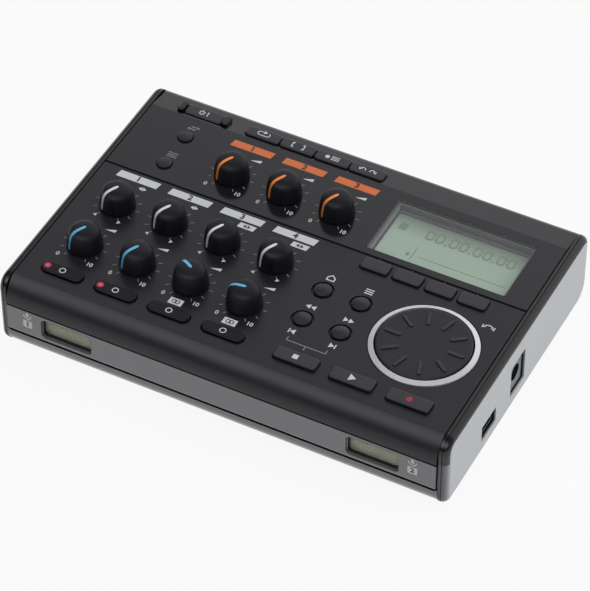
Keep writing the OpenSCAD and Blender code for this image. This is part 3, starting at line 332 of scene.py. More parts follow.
# %% Plated metal
def plated(name, colour, roughness, line, stretch=(1, 1, 1)):
    """Plated metal with rolling lines: line is their spacing in mm, stretch their direction."""
    material, tree = blank(bpy.data.materials.new(name))
    spot = add(tree, "ShaderNodeTexCoord").outputs["Object"]
    grain = add(tree, "ShaderNodeMapping", {"Vector": spot, "Scale": stretch}).outputs[0]
    lines = add(tree, "ShaderNodeTexNoise",
                {"Vector": grain, "Scale": 1 / (line * MM), "Detail": 3.0}).outputs[0]
    tint = add(tree, "ShaderNodeMix", {0: lines, 6: linear(colour, 0.92), 7: linear(colour, 1.06)},
               data_type="RGBA").outputs[2]
    sheen = add(tree, "ShaderNodeMapRange", {0: lines, 3: roughness * 0.75, 4: roughness * 1.25}).outputs[0]
    bump = add(tree, "ShaderNodeBump", {"Height": lines, "Strength": 0.4, "Distance": 0.001 * MM}).outputs[0]
    shader = add(tree, "ShaderNodeBsdfPrincipled",
                 {"Base Color": tint, "Metallic": 1.0, "Roughness": sheen, "Normal": bump})
    add(tree, "ShaderNodeOutputMaterial", {"Surface": shader.outputs[0]})
    return material


dress(moulded("satin_silver_ring", "#CBCDCF", 0.32, 0.4, 0.0008, drift=0.03, metallic=0.3), "wheel_ring")
rolled_steel = plated("tinned_rolled_steel", "#B9BABB", 0.28, 0.5, (0.1, 1, 1))
dress(rolled_steel, "sd_socket", "mic_capsules", "battery_contacts")
dress(plated("zinc_plated_screw_steel", "#A9AAAC", 0.32, 0.3), "screws")

# The shell of the data socket is bright at its mouth. Further in it is painted black: the black insert, and
# painted shade inside the steel shell.
shell_steel = rolled_steel.copy()
shell_steel.name = "tinned_socket_shell"
mouth_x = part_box("usb_port")[1].x / MM
repaint(shell_steel, black_and_painted_shade, (place(shell_steel)["X"], mouth_x - 20, mouth_x - 0.3))
dress(shell_steel, "usb_port")


# %% [markdown]
# ## Inside parts and small parts
# The boards, switches and potentiometers are seen only through openings, or with the battery door off, and
# still have their own look: green solder resist, dark thermoset, black and grey nylon, a shrink sleeve on
# the cells, blue ABS for the card and black rubber for the feet.

# %% Finishes for the small parts
dress(moulded("green_solder_resist", "#2F6B45", 0.30, 1.2, 0.003, drift=0.25), "circuit_boards")
dress(moulded("dark_thermoset", "#303136", 0.45, 0.4, 0.002), "wheel_encoder", "potentiometers",
      "tact_switches")
dress(moulded("cell_shrink_sleeve", "#3C5A78", 0.25, 1.5, 0.002, drift=0.2), "batteries")
dress(moulded("blue_card_abs", "#2C4A86", 0.40, 0.4, 0.002), "sd_card")
dress(moulded("black_foot_rubber", "#1F1F20", 0.75, 0.4, 0.01, specular=0.3), "feet")
dress(moulded("grey_display_frame", "#6A696D", 0.50, 0.4, 0.002), "lcd_module")

# Inside the rear panel a jack is black nylon, and its nose and nut outside are nickel plated brass.
black_nylon = moulded("black_nylon", "#1E1F21", 0.40, 0.4, 0.002)
nickel = {"Base Color": linear("#C9C7C1"), "Roughness": 0.24, "Metallic": 1.0}
rear_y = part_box("rear_panel")[1].y / MM
repaint(black_nylon, nickel, (place(black_nylon)["Y"], rear_y + 0.05, rear_y + 20))
dress(black_nylon, "rear_jacks")

# The power socket is grey outside, its round hole is painted black as painted shade, and a plated pin sits in
# the middle.
hole_r, pin_r = 2.92, 1.02
hole_mid = middle("dc_jack") * MM
grey_nylon = moulded("grey_nylon", "#6F7678", 0.45, 0.4, 0.002)
tree = grey_nylon.node_tree
spot = add(tree, "ShaderNodeTexCoord").outputs["Object"]
off_axis = add(tree, "ShaderNodeVectorMath", {0: spot, 1: hole_mid}, operation="SUBTRACT").outputs[0]
off_axis = add(tree, "ShaderNodeVectorMath", {0: off_axis, 1: (0, 1, 1)}, operation="MULTIPLY").outputs[0]
radius = add(tree, "ShaderNodeVectorMath", {0: off_axis}, operation="LENGTH").outputs["Value"]
repaint(grey_nylon, black_and_painted_shade, (radius, 0, hole_r))
repaint(grey_nylon, nickel, (radius, 0, pin_r))
dress(grey_nylon, "dc_jack")


# %% [markdown]
# ## Display lens
# The lens is a flat plate of clear acrylic over the display. A plate this thin hardly bends what lies under
# it, so its shader lets light straight through and only adds the mirror shine, which grows towards flat
# angles (Fresnel, index 1.49). The rays leave through the back without a second shine. The edge of the lens
# is sprayed grey, as its normal tells: it doesn't point up or down there.

# %% Clear acrylic
clear_acrylic, tree = blank(bpy.data.materials.new("clear_acrylic"))
spot = add(tree, "ShaderNodeTexCoord").outputs["Object"]
haze = add(tree, "ShaderNodeTexNoise", {"Vector": spot, "Scale": 1 / (12 * MM), "Detail": 2.0}).outputs[0]
polish = add(tree, "ShaderNodeMapRange", {0: haze, 3: 0.02, 4: 0.08}).outputs[0]
shape = add(tree, "ShaderNodeNewGeometry").outputs
mirror = add(tree, "ShaderNodeFresnel", {"IOR": 1.49}).outputs[0]
outside = add(tree, "ShaderNodeMath", {0: 1.0, 1: shape["Backfacing"]}, operation="SUBTRACT").outputs[0]
mirror = add(tree, "ShaderNodeMath", {0: mirror, 1: outside}, operation="MULTIPLY").outputs[0]
through = add(tree, "ShaderNodeBsdfTransparent", {"Color": linear("#F4F6F5")})
shine = add(tree, "ShaderNodeBsdfGlossy", {"Roughness": polish})
plate = add(tree, "ShaderNodeMixShader", {0: mirror, 1: through.outputs[0], 2: shine.outputs[0]})
upright = add(tree, "ShaderNodeSeparateXYZ", {0: shape["Normal"]}).outputs["Z"]
upright = add(tree, "ShaderNodeMath", {0: upright}, operation="ABSOLUTE").outputs[0]
edge = add(tree, "ShaderNodeMath", {0: upright, 1: 0.5}, operation="LESS_THAN").outputs[0]
spray = add(tree, "ShaderNodeBsdfDiffuse", {"Color": linear("#5A595D")})
lens_mix = add(tree, "ShaderNodeMixShader", {0: edge, 1: plate.outputs[0], 2: spray.outputs[0]})
add(tree, "ShaderNodeOutputMaterial", {"Surface": lens_mix.outputs[0]})
dress(clear_acrylic, "display_window")


# %% [markdown]
# ## Finished pieces
# What Blender adds is made as a mesh that is already in its place. A piece rides on the body that carries
# it, so the mark on a key goes down with the key.

# %% Turn a mesh into a piece
def piece(name, mesh, body, material=None):
    """A mesh in its place becomes a piece that moves with a body."""
    if material:
        mesh.materials.clear()
        mesh.materials.append(material)
    mesh.name = name
    made = linked(name, mesh)
    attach(made, body)
    check = bmesh.new()
    check.from_mesh(mesh)
    open_edges = sum(not edge.is_manifold for edge in check.edges)
    check.free()
    print(name, "on", body, "faces:", len(mesh.polygons), "open edges:", open_edges)
    return made


# %% [markdown]
# ## Printing inks and pointer plastics
# The marks on the panel are pad-printed: a thin, even coat of matt ink. The ink covers slightly unevenly,
# which the noise shows. The thin ticks of the scales let the black through, so their white is greyer.
# The pointers on the knobs are moulded in white, blue and orange plastic.

# %% Inks and pointer colours
def even(name, colour, drift=0.05, roughness=0.55):
    """A thin, even coat or a plain plastic: hardly any relief."""
    return moulded(name, colour, roughness, 0.5, 0.0005, drift=drift)


white_ink = even("white_printing_ink", "#BFC2C4", 0.04)
thin_ink = even("thin_white_printing_ink", "#858589", 0.08)
orange_ink = even("orange_printing_ink", "#C4683A")
dark_ink = even("dark_printing_ink", "#2A2A2D")
red_ink = even("red_printing_ink", "#8E2A36")
pointer_white = even("white_pointer_abs", "#CFD0D2", 0.04, roughness=0.45)
pointer_blue = even("blue_pointer_abs", "#5CA9D2", roughness=0.45)
pointer_orange = even("orange_pointer_abs", "#E88236", roughness=0.45)
print("inks:", [ink.name for ink in (white_ink, thin_ink, orange_ink, dark_ink, red_ink)])


# %% [markdown]
# ## Shapes for the marks
# A mark is drawn flat, in millimetres, as a list of faces: bars, discs, arcs, and strokes that follow a
# line of points. Figures come from Blender's own typeface, turned into faces. Each sheet of faces is
# then raised to a thin closed solid that sits on its carrier, a little sunk so that no gap shows.

# %% Flat shapes
def bar(x, y, width, height, slant=0.0):
    """A bar around x, y; slant moves its upper edge to the right."""
    w, h, s = width / 2, height / 2, slant / 2
    return [[(x - w - s, y - h), (x + w - s, y - h), (x + w + s, y + h), (x - w + s, y + h)]]


def disc(x, y, radius, steps=28):
    """A round face."""
    turns = [2 * math.pi * n / steps for n in range(steps)]
    return [[(x + radius * math.cos(a), y + radius * math.sin(a)) for a in turns]]


def arc(x, y, radius, width, start, end, steps=24):
    """A ring or part of one, from start to end in degrees."""
    rim, radii = [], (radius - width / 2, radius + width / 2)
    for n in range(steps + 1):
        a = math.radians(start + (end - start) * n / steps)
        rim.append([(x + r * math.cos(a), y + r * math.sin(a)) for r in radii])
    return [[a[0], a[1], b[1], b[0]] for a, b in zip(rim, rim[1:])]


def head(x, y, size, turn):
    """A solid arrowhead with its tip at x, y, pointing at turn degrees."""
    c, s = math.cos(math.radians(turn)), math.sin(math.radians(turn))
    corners = [(0, 0), (-size, size * 0.62), (-size, -size * 0.62)]
    return [[(x + c * u - s * v, y + s * u + c * v) for u, v in corners]]


def stroke(points, width):
    """A line of even width through points, with mitred corners."""
    points = [Vector(p) for p in points]
    steps = [b - a for a, b in zip(points, points[1:])]
    closed = (points[0] - points[-1]).length < 1e-6
    sides = []
    for n, point in enumerate(points):
        before = steps[n - 1] if n or closed else steps[0]
        after = steps[n] if n < len(steps) else steps[0 if closed else -1]
        a, b = before.normalized(), after.normalized()
        mitre = Vector((-a.y - b.y, a.x + b.x)).normalized()
        reach = width / 2 / max(mitre.dot(Vector((-a.y, a.x))), 0.3)
        sides.append((tuple(point - mitre * reach), tuple(point + mitre * reach)))
    return [[a[0], b[0], b[1], a[1]] for a, b in zip(sides, sides[1:])]


def shift(faces, x, y):
    """The same faces, moved."""
    return [[(x + u, y + v) for u, v in face] for face in faces]


print("a ring has", len(arc(0, 0, 1, 0.3, 0, 360)), "faces")


# %% Figures and raised prints
def figures(text, height, x, y, bold=0.05):
    """Plain figures in the built-in typeface, centred on x, y, made heavier by bold mm on each side."""
    curve = bpy.data.curves.new("figures", "FONT")
    curve.body = text
    curve.size = height / 0.72  # a figure is 0.72 of the type size high
    curve.offset = bold
    curve.align_x = "CENTER"
    curve.align_y = "CENTER"
    curve.resolution_u = 4
    holder = linked("figures", curve)
    flat = bpy.data.meshes.new_from_object(holder.evaluated_get(bpy.context.evaluated_depsgraph_get()))
    spots = [(x + v.co.x, y + v.co.y) for v in flat.vertices]
    faces = [[spots[v] for v in face.vertices] for face in flat.polygons]
    bpy.data.objects.remove(holder)
    bpy.data.curves.remove(curve)
    bpy.data.meshes.remove(flat)
    return faces


def written(shape):
    """A new mesh from a bmesh."""
    mesh = bpy.data.meshes.new("written")
    shape.to_mesh(mesh)
    shape.free()
    return mesh


def raised(faces, where, height=0.03, sunk=0.03):
    """Flat faces become a thin closed solid on a surface; where holds its origin and directions."""
    sheet = bmesh.new()
    for face in faces:
        sheet.faces.new([sheet.verts.new((x * MM, y * MM, -sunk * MM)) for x, y in face])
    bmesh.ops.remove_doubles(sheet, verts=sheet.verts[:], dist=2e-6)
    upper = bmesh.ops.extrude_face_region(sheet, geom=sheet.faces[:])["geom"]
    corners = [part for part in upper if isinstance(part, bmesh.types.BMVert)]
    bmesh.ops.translate(sheet, verts=corners, vec=(0, 0, (height + sunk) * MM))
    bmesh.ops.recalc_face_normals(sheet, faces=sheet.faces[:])
    sheet.transform(where)
    return written(sheet)


def on_top(x, y, z):
    """A place on an upward face, in mm."""
    return Matrix.Translation(Vector((x, y, z)) * MM)


def printed(name, faces, ink, height=0.03):
    """Marks in one ink on the panel."""
    return piece(name, raised(faces, on_top(0, 0, panel_z), height), "case", ink)


print("the figure 8 has", len(figures("8", 2, 0, 0)), "faces")


# %% [markdown]
# ## Track names
# Over each track's knobs a slanted white block holds the track's number in dark ink, and three orange
# blocks number the knobs behind the groove. Tracks 3 and 4 can form a stereo pair: they have a smaller block
# with two arrowheads over the pan knob, and a box with two rings further down.

# %% Blocks and their figures
track_y, small_y, pair_y, input_y = 6.5, 3.05, -36.2, 35.85
track_x = [middle(knob).x for knob in pan_knobs]
track_blocks = [f for x in track_x for f in bar(x + 0.2, track_y, 14.6, 2.9, slant=0.5)]
small_blocks = [f for x in track_x[2:] for f in bar(x + 3.5, small_y, 5.7, 2.2, slant=0.4)]
pair_boxes = [f for x in track_x[2:] for f in bar(x - 0.3, pair_y, 4.6, 2.7)]
input_x = [middle(knob).x for knob in input_knobs]
input_blocks = [f for x in input_x for f in bar(x + 0.2, input_y, 14.7, 2.9, slant=0.5)]
printed("track_blocks", track_blocks + small_blocks + pair_boxes, white_ink)
printed("input_blocks", input_blocks, orange_ink)

block_figures = []
for places, y in ((track_x, track_y), (input_x, input_y)):
    for n, x in enumerate(places):
        block_figures += figures(str(n + 1), 2.2, x + 0.2, y, bold=0.12)
for x in track_x[2:]:
    block_figures += head(x + 2.1, small_y, 1.2, 180) + head(x + 4.9, small_y, 1.2, 0)
    block_figures += arc(x - 0.85, pair_y, 0.7, 0.3, 0, 360) + arc(x + 0.25, pair_y, 0.7, 0.3, 0, 360)
printed("block_figures", block_figures, dark_ink, height=0.05)


# %% [markdown]
# ## Knob scales
# Each knob turns inside a scale of eleven thin ticks, thirty degrees apart. That is the same tick eleven
# times on the same circle eleven times, so Geometry Nodes draws it: one tick is set on points that turn
# step by step, and the finished scale is set on the middle of each knob.

# %% A tree for tick scales
def tree_with(name, sizes):
    """An empty Geometry Nodes tree with a named input for each size."""
    tree = bpy.data.node_groups.new(name, "GeometryNodeTree")
    tree.interface.new_socket("Geometry", in_out="OUTPUT", socket_type="NodeSocketGeometry")
    tree.interface.new_socket("Geometry", in_out="INPUT", socket_type="NodeSocketGeometry")
    for label, value in sizes.items():
        kind = "NodeSocketInt" if isinstance(value, int) else "NodeSocketFloat"
        tree.interface.new_socket(label, in_out="INPUT", socket_type=kind)
    return tree, add(tree, "NodeGroupInput").outputs


def grown(tree, points, sizes):
    """Runs a tree on a few points, and keeps the plain mesh that it makes."""
    seed = bpy.data.meshes.new(tree.name)
    seed.from_pydata([tuple(point) for point in points], [], [])
    holder = linked(tree.name, seed)
    modifier = holder.modifiers.new(tree.name, "NODES")
    modifier.node_group = tree
    for socket in tree.interface.items_tree:
        if socket.in_out == "INPUT" and socket.name in sizes:
            modifier[socket.identifier] = sizes[socket.name]
    made = bpy.data.meshes.new_from_object(holder.evaluated_get(bpy.context.evaluated_depsgraph_get()))
    bpy.data.objects.remove(holder)
    return made


scale_sizes = {"Ticks": 11, "First": math.radians(-60), "Step": math.radians(30), "Reach": 6.5 * MM,
               "Length": 1.3 * MM, "Width": 0.2 * MM, "Thickness": 0.06 * MM}
tree, size = tree_with("tick_scale", scale_sizes)
slab = add(tree, "ShaderNodeCombineXYZ",
           {0: size["Length"], 1: size["Width"], 2: size["Thickness"]}).outputs[0]
tick = add(tree, "GeometryNodeMeshCube", {"Size": slab}).outputs[0]
half = add(tree, "ShaderNodeMath", {0: size["Length"], 1: 0.5}, operation="MULTIPLY").outputs[0]
out = add(tree, "ShaderNodeMath", {0: size["Reach"], 1: half}, operation="ADD").outputs[0]
moved = add(tree, "ShaderNodeCombineXYZ", {0: out}).outputs[0]
tick = add(tree, "GeometryNodeTransform", {"Geometry": tick, "Translation": moved}).outputs[0]
stops = add(tree, "GeometryNodeMeshLine", {"Count": size["Ticks"], "Offset": (0, 0, 0)}).outputs[0]
index = add(tree, "GeometryNodeInputIndex").outputs[0]
turn = add(tree, "ShaderNodeMath", {0: index, 1: size["Step"], 2: size["First"]},
           operation="MULTIPLY_ADD").outputs[0]
spin = add(tree, "ShaderNodeCombineXYZ", {2: turn}).outputs[0]
dial = add(tree, "GeometryNodeInstanceOnPoints",
           {"Points": stops, "Instance": tick, "Rotation": spin}).outputs[0]
dials = add(tree, "GeometryNodeInstanceOnPoints", {"Points": size["Geometry"], "Instance": dial}).outputs[0]
plain = add(tree, "GeometryNodeRealizeInstances", {"Geometry": dials}).outputs[0]
inked = add(tree, "GeometryNodeSetMaterial", {"Geometry": plain, "Material": thin_ink}).outputs[0]
add(tree, "NodeGroupOutput", {"Geometry": inked})

knob_feet = [Vector((middle(knob).x, middle(knob).y, panel_z)) * MM for knob in knobs]
piece("knob_scales", grown(tree, knob_feet, scale_sizes), "case")


# %% [markdown]
# ## Knobs
# A knob is a turned shape: one outline, spun round its axis. The solids have a straight taper and a small
# rounded edge. The real sides bulge a little into a soft shoulder, which takes the light without a hard
# line. So the outline is drawn again with curves, inside the same box and on the same shaft, and a new
# piece stands for each solid knob.

# %% Knobs with a soft shoulder
def spun(outline, x, y, steps=72):
    """Spins an outline of radius and height pairs, in mm, round an upright axis that both its ends touch."""
    shape = bmesh.new()
    rings = []
    for radius, z in outline:
        count = steps if radius > 0 else 1
        turns = [2 * math.pi * n / steps for n in range(count)]
        rings.append([shape.verts.new(Vector((x + radius * math.cos(a), y + radius * math.sin(a), z)) * MM)
                      for a in turns])
    for a, b in zip(rings, rings[1:]):
        for n in range(steps):
            corners = [a[n % len(a)], a[(n + 1) % len(a)], b[(n + 1) % len(b)], b[n % len(b)]]
            shape.faces.new(list(dict.fromkeys(corners)))
    bmesh.ops.recalc_face_normals(shape, faces=shape.faces[:])
    for face in shape.faces:
        face.smooth = True
    crease = math.radians(35)
    for edge in shape.edges:
        edge.smooth = edge.calc_face_angle(0) < crease
    return written(shape)


shaft_r, gap, bulge_steps = 3.0, 0.4, 28
knob_meshes = {}
for knob in knobs:
    low, high = (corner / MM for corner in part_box(knob))
    foot_r, foot_z, knob_h = (high.x - low.x) / 2, panel_z + gap, high.z - panel_z - gap
    outline = [(0, low.z), (shaft_r, low.z), (shaft_r, foot_z)]
    for n in range(bulge_steps):
        up = math.sin(math.pi / 2 * n / bulge_steps)
        # The side leans in by a fifth, and near the top a high power closes it in a soft dome.
        taper, dome = 1 - 0.2 * up ** 1.5, (1 - up ** 9) ** (1 / 3)
        outline.append((foot_r * taper * dome, foot_z + knob_h * up))
    outline.append((0, foot_z + knob_h))
    knob_meshes[knob] = spun(outline, middle(knob).x, middle(knob).y)
    cap = piece(knob + "_turned", knob_meshes[knob], knob, soft_touch_black)
    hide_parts(knob)


# %% [markdown]
# ## Pointers
# Each knob has a raised pointer that runs from just past the middle of its top, over the rounded edge and
# down its side. It has to follow that curve closely, so rays from a point inside the knob find its skin,
# and the pointer is a thin strip just outside the points that they hit.

# %% A strip that follows the knob
def skin(mesh):
    """A tree of a mesh's faces that rays can be tested against."""
    return BVHTree.FromPolygons([v.co.copy() for v in mesh.vertices], [p.vertices[:] for p in mesh.polygons])


def pointer(node, angle, width=1.0, lift=0.05, sunk=0.10):
    """A closed strip along a knob's skin, at an angle from the right-hand side, in degrees."""
    shape = skin(knob_meshes[node])
    base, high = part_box(node)
    radius = (high.x - base.x) / 2
    core = Vector(((base.x + high.x) / 2, (base.y + high.y) / 2, high.z - radius))
    out = Vector((math.cos(math.radians(angle)), math.sin(math.radians(angle)), 0))
    side = Vector((-out.y, out.x, 0))
    rows, columns, end_rows = 40, 5, 4
    first_tilt, sweep = 97, 106  # degrees, from just past the middle down to the side
    outer, inner = [], []
    for r in range(rows):
        tilt = math.radians(first_tilt - sweep * r / (rows - 1))
        way = out * math.cos(tilt) + Vector((0, 0, math.sin(tilt)))
        near_end = min(r, rows - 1 - r) / end_rows
        narrow = math.sqrt(1 - (1 - near_end) ** 2) if near_end < 1 else 1
        for c in range(columns):
            offset = side * (width * MM * max(narrow, 0.25) * (c / (columns - 1) - 0.5))
            hit = shape.ray_cast(core + offset, way)[0]
            outer.append(hit + way * lift * MM)
            inner.append(hit - way * sunk * MM)
    strip = bmesh.new()
    above = [strip.verts.new(p) for p in outer]
    below = [strip.verts.new(p) for p in inner]
    for r in range(rows - 1):
        for c in range(columns - 1):
            a, b = r * columns + c, (r + 1) * columns + c
            strip.faces.new([above[a], above[a + 1], above[b + 1], above[b]])
            strip.faces.new([below[a], below[b], below[b + 1], below[a + 1]])
    rim = [e for e in strip.edges if e.is_boundary and e.verts[0] in above]
    twin = dict(zip(above, below))
    for edge in rim:
        a, b = edge.verts
        strip.faces.new([a, b, twin[b], twin[a]])
    bmesh.ops.recalc_face_normals(strip, faces=strip.faces[:])
    return written(strip)


rest_angle = {"level_knob_3": 150, "level_knob_4": 187}
plastics = ((pan_knobs, pointer_white), (level_knobs, pointer_blue), (input_knobs, pointer_orange))
for group, plastic in plastics:
    for knob in group:
        piece(knob + "_pointer", pointer(knob, rest_angle.get(knob, 240)), knob, plastic)


# %% [markdown]
# ## Marks around the knobs
# The level and input knobs have 0 and 10 at the ends of their scales, and the pan knobs a left and a right
# arrowhead. A small wedge behind a level or input knob stands for loudness, and two arrowheads behind the
# first two pan knobs for left and right.

# %% End marks and signs
def beside(node, faces, y=0.0, x=0.0):
    """Faces at a distance from the middle of a knob or key."""
    return shift(faces, middle(node).x + x, middle(node).y + y)


ends = figures("0", 1.6, -5.8, -7.2) + figures("10", 1.6, 5.6, -7.2)
wedge = [[(2.0, 8.9), (5.6, 8.9), (5.6, 10.2)]]
sides = head(-5.0, -7.0, 1.2, 180) + head(5.0, -7.0, 1.2, 0)
pan_sign = head(2.1, 9.8, 1.3, 180) + head(4.9, 9.8, 1.3, 0)
marked = ((level_knobs + input_knobs, ends + wedge), (pan_knobs, sides), (pan_knobs[:2], pan_sign))
knob_marks = [f for group, faces in marked for knob in group for f in beside(knob, faces)]
printed("knob_marks", knob_marks, white_ink)


# %% [markdown]
# ## Signs beside the keys
# The round keys have signs above them: a house for the start page, three lines for the menu, double
# arrowheads to search, and a bracket that joins the two. The small keys on the right have sliders and two
# arrows, and the wheel a curved arrow. Dark lines lead from the groove to the keys under the display.

# %% Signs on the panel
house = stroke([(-1.2, -1.1), (-1.2, 0.2), (0, 1.2), (1.2, 0.2), (1.2, -1.1), (-1.2, -1.1)], 0.4)
lines = [f for y in (-0.9, 0, 0.9) for f in bar(0, y, 2.8, 0.42)]
back = head(-1.7, 0, 1.6, 180) + head(0.1, 0, 1.6, 180)
ahead = head(1.7, 0, 1.6, 0) + head(-0.1, 0, 1.6, 0)
to_start = bar(-1.3, 0, 0.4, 1.8) + head(-1.0, 0, 1.7, 180)
to_end = bar(1.3, 0, 0.4, 1.8) + head(1.0, 0, 1.7, 0)
twist = arc(0, -0.6, 1.9, 0.4, 30, 150) + head(2.05, -0.35, 1.3, -62) + head(-2.05, -0.35, 1.3, 242)
sliders = [f for y in (-0.9, 0.0, 0.9) for f in bar(0, y, 3.4, 0.3)]
sliders += bar(-0.7, 0.9, 0.6, 0.62) + bar(0.7, 0, 0.6, 0.62) + bar(-0.2, -0.9, 0.6, 0.62)
swap = bar(0.2, 0.55, 2.4, 0.35) + head(2.1, 0.55, 1.0, 0)
swap += bar(-0.2, -0.55, 2.4, 0.35) + head(-2.1, -0.55, 1.0, 180)

signs = beside("home_button", house, 5.9) + beside("menu_button", lines, 5.9)
signs += beside("rewind_button", back, 5.8) + beside("forward_button", ahead, 5.8)
signs += beside("rewind_button", to_start, -6.1) + beside("forward_button", to_end, -6.1)
signs += shift(twist, 66.8, -2.6)
printed("key_signs", signs, white_ink)

thin_signs = beside("setting_button", swap, 4.9, 0.3) + beside("assign_button", sliders, 4.7, 0.3)
thin_signs += stroke([(14.4, -33.5), (14.4, -35.0), (27.7, -35.0), (27.7, -33.5)], 0.25)
thin_signs += stroke([(21.0, -35.1), (21.0, -36.7)], 0.25)
printed("thin_signs", thin_signs, thin_ink)

leads = [f for key in soft_keys for f in bar(middle(key).x - 0.2, 8.6, 0.55, 1.5)]
printed("soft_key_leads", leads, dark_ink)


# %% [markdown]
# ## Symbols on the keys
# The symbols are printed on the caps, so each one rides on its own key. The transport keys have a square,
# a triangle and a red dot. The keys behind the display have a loop, brackets, take lines and undo arrows.
# The track keys have a ring, and the first two light up red.

# %% One symbol for each key
loop = arc(-1.3, 0, 0.8, 0.32, 90, 270) + bar(0, -0.8, 2.6, 0.32) + arc(1.3, 0, 0.8, 0.32, -90, 60)
loop += bar(-0.75, 0.8, 1.1, 0.32) + head(1.1, 0.8, 1.2, 0)
brackets = stroke([(-1.4, 1.0), (-2.1, 1.0), (-2.1, -1.0), (-1.4, -1.0)], 0.36)
brackets += stroke([(1.4, 1.0), (2.1, 1.0), (2.1, -1.0), (1.4, -1.0)], 0.36)
takes = disc(-1.9, 0, 0.75) + bar(0.9, 0.7, 2.8, 0.32) + bar(0.9, 0, 2.8, 0.32) + bar(0.9, -0.7, 2.8, 0.32)
undo = arc(-1.7, -0.3, 0.95, 0.34, 0, 165) + head(-2.85, -0.75, 1.1, 250)
undo += arc(1.7, -0.3, 0.95, 0.34, 15, 180) + head(2.85, -0.75, 1.1, -70)
power = arc(-1.0, 0, 0.85, 0.32, 120, 420) + bar(-1.0, 0.65, 0.32, 1.1) + bar(1.1, 0, 0.34, 2.0)
ring = arc(0, 0, 0.95, 0.32, 0, 360, 36)
key_symbols = {"stop_button": bar(-0.3, 0, 1.8, 1.8), "play_button": head(1.2, 0, 2.3, 0),
               "record_button": disc(0, 0, 1.05), "repeat_button": loop, "in_out_button": brackets,
               "mode_button": takes, "undo_button": undo, "power_button": power,
               **{key: ring for key in track_keys}}
for key, faces in key_symbols.items():
    at = middle(key)
    paint = red_ink if key == "record_button" else white_ink
    piece(key + "_symbol", raised(faces, on_top(at.x, at.y, top(key))), key, paint)


# %% [markdown]
# ## Lamps in the track keys
# A lit key has a round window over a red lamp. It shows its own light, so its material glows a little in
# addition to what the studio light does, with a lighter middle where the lamp is.

# %% Red lamp windows
lamp_rim = moulded("red_lamp_window", "#8A2A40", 0.30, 0.8, 0.0005, drift=0.08)
lamp_core = moulded("lit_lamp_core", "#B23C55", 0.30, 0.8, 0.0005, drift=0.08)
for lit, strength in ((lamp_rim, 0.08), (lamp_core, 0.35)):
    glow = next(node for node in lit.node_tree.nodes if node.type == "BSDF_PRINCIPLED")
    glow.inputs["Emission Color"].default_value = linear("#D2445E")
    glow.inputs["Emission Strength"].default_value = strength
for key in track_keys[:2]:
    at = middle(key)
    here = on_top(at.x - 5.3, at.y, top(key))
    piece(key + "_lamp", raised(disc(0, 0, 1.15, 36), here, height=0.06), key, lamp_rim)
    piece(key + "_lamp_core", raised(disc(0, 0, 0.65, 36), here, height=0.09), key, lamp_core)


# %% [markdown]
# ## The picture on the display
# The display is a grey-green liquid crystal panel, set deep under the lens. A grey foam gasket keeps dust
# out between the two, and a grey mask on the back of the lens hides the ledge that carries it. The gasket's
# grey is painted lighter to make up for the shade on its wall, and the film is painted darker towards the
# rear as painted shade of the frame.
# The counter on the film is a row of zeros made of six bars each, in a darker tone.

# %% Gasket, mask and film
lens_low, lens_high = (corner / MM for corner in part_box("display_window"))
module_z = top("lcd_module")
glass_z = module_z - 0.1
# The gasket's grey is painted lighter than the mask's and the frame's, to make up for the shade on its wall.
gasket_grey_painted_light = moulded("grey_gasket_foam_painted_light", "#9A999E", 0.85, 0.6, 0.0005, drift=0.04, specular=0.2)
mask_grey = even("grey_mask_ink", "#6A696D", roughness=0.60)
crystal_film = moulded("liquid_crystal_film", "#B4C3B6", 0.45, 0.8, 0.0002, drift=0.02, specular=0.2)
crystal_dark = moulded("liquid_crystal_figures", "#8B9686", 0.45, 0.8, 0.0002, drift=0.02, specular=0.2)


def rectangle(low, high, inset):
    """The closed path round a rectangle, drawn in by an inset."""
    x0, y0, x1, y1 = low.x + inset, low.y + inset, high.x - inset, high.y - inset
    return [(x0, y0), (x1, y0), (x1, y1), (x0, y1), (x0, y0)]


def layer(name, faces, z, material, height=0.03, sunk=0.0):
    """A flat layer of the display at a height in mm."""
    return piece(name, raised(faces, on_top(0, 0, z), height, sunk), "case", material)


gasket = stroke(rectangle(lens_low, lens_high, 0.72), 0.14)
layer("display_gasket", gasket, module_z, gasket_grey_painted_light, height=lens_low.z - module_z - 0.02)
mask = stroke(rectangle(lens_low, lens_high, 0.42), 0.74)
layer("display_mask", mask, lens_low.z + 0.03, mask_grey, sunk=0.02)
# The film's colour is painted darker over its rear 8 mm: painted shade of the frame.
film_rear, frame_shade_reach = 33.6, 8
painted_frame_shade = add(crystal_film.node_tree, "ShaderNodeMapRange",
           {0: place(crystal_film)["Y"], 1: (film_rear - frame_shade_reach) * MM, 2: film_rear * MM}).outputs[0]
change(crystal_film, painted_frame_shade, {"Base Color": linear("#868F86")})
layer("display_film", bar(42.0, 23.9, 45.2, 19.4), glass_z, crystal_film)


# %% Figures of the counter
def segment(x, y, length, width, upright):
    """One bar of a seven-bar figure, with pointed ends."""
    l, w = length / 2, width / 2
    shape = [(-l, 0), (-l + w, -w), (l - w, -w), (l, 0), (l - w, w), (-l + w, w)]
    return [[(x - v, y + u) if upright else (x + u, y + v) for u, v in shape]]


def counter_zero(x, y, width=2.2, height=3.7, line=0.7):
    """The figure 0 out of six bars."""
    w, h, gap = width / 2, height / 4, 0.12
    faces = segment(x, y + 2 * h, width - gap, line, False) + segment(x, y - 2 * h, width - gap, line, False)
    for side in (-w, w):
        for up in (h, -h):
            faces += segment(x + side, y + up, 2 * h - gap, line, True)
    return faces


counter, counter_y = [], 28.85
for pair in range(4):
    left = 32.4 + pair * 8.2
    counter += counter_zero(left, counter_y) + counter_zero(left + 3.4, counter_y)
    if pair < 3:
        counter += bar(left + 5.8, 27.0, 0.7, 0.7)
counter += bar(22.9, counter_y, 2.6, 3.1)
counter += bar(29.4, 18.2, 1.1, 1.4) + bar(31.0, 19.2, 0.3, 6.0) + bar(48.0, 18.4, 30.0, 0.25)
layer("display_counter", counter, glass_z + 0.03, crystal_dark, sunk=0.01)


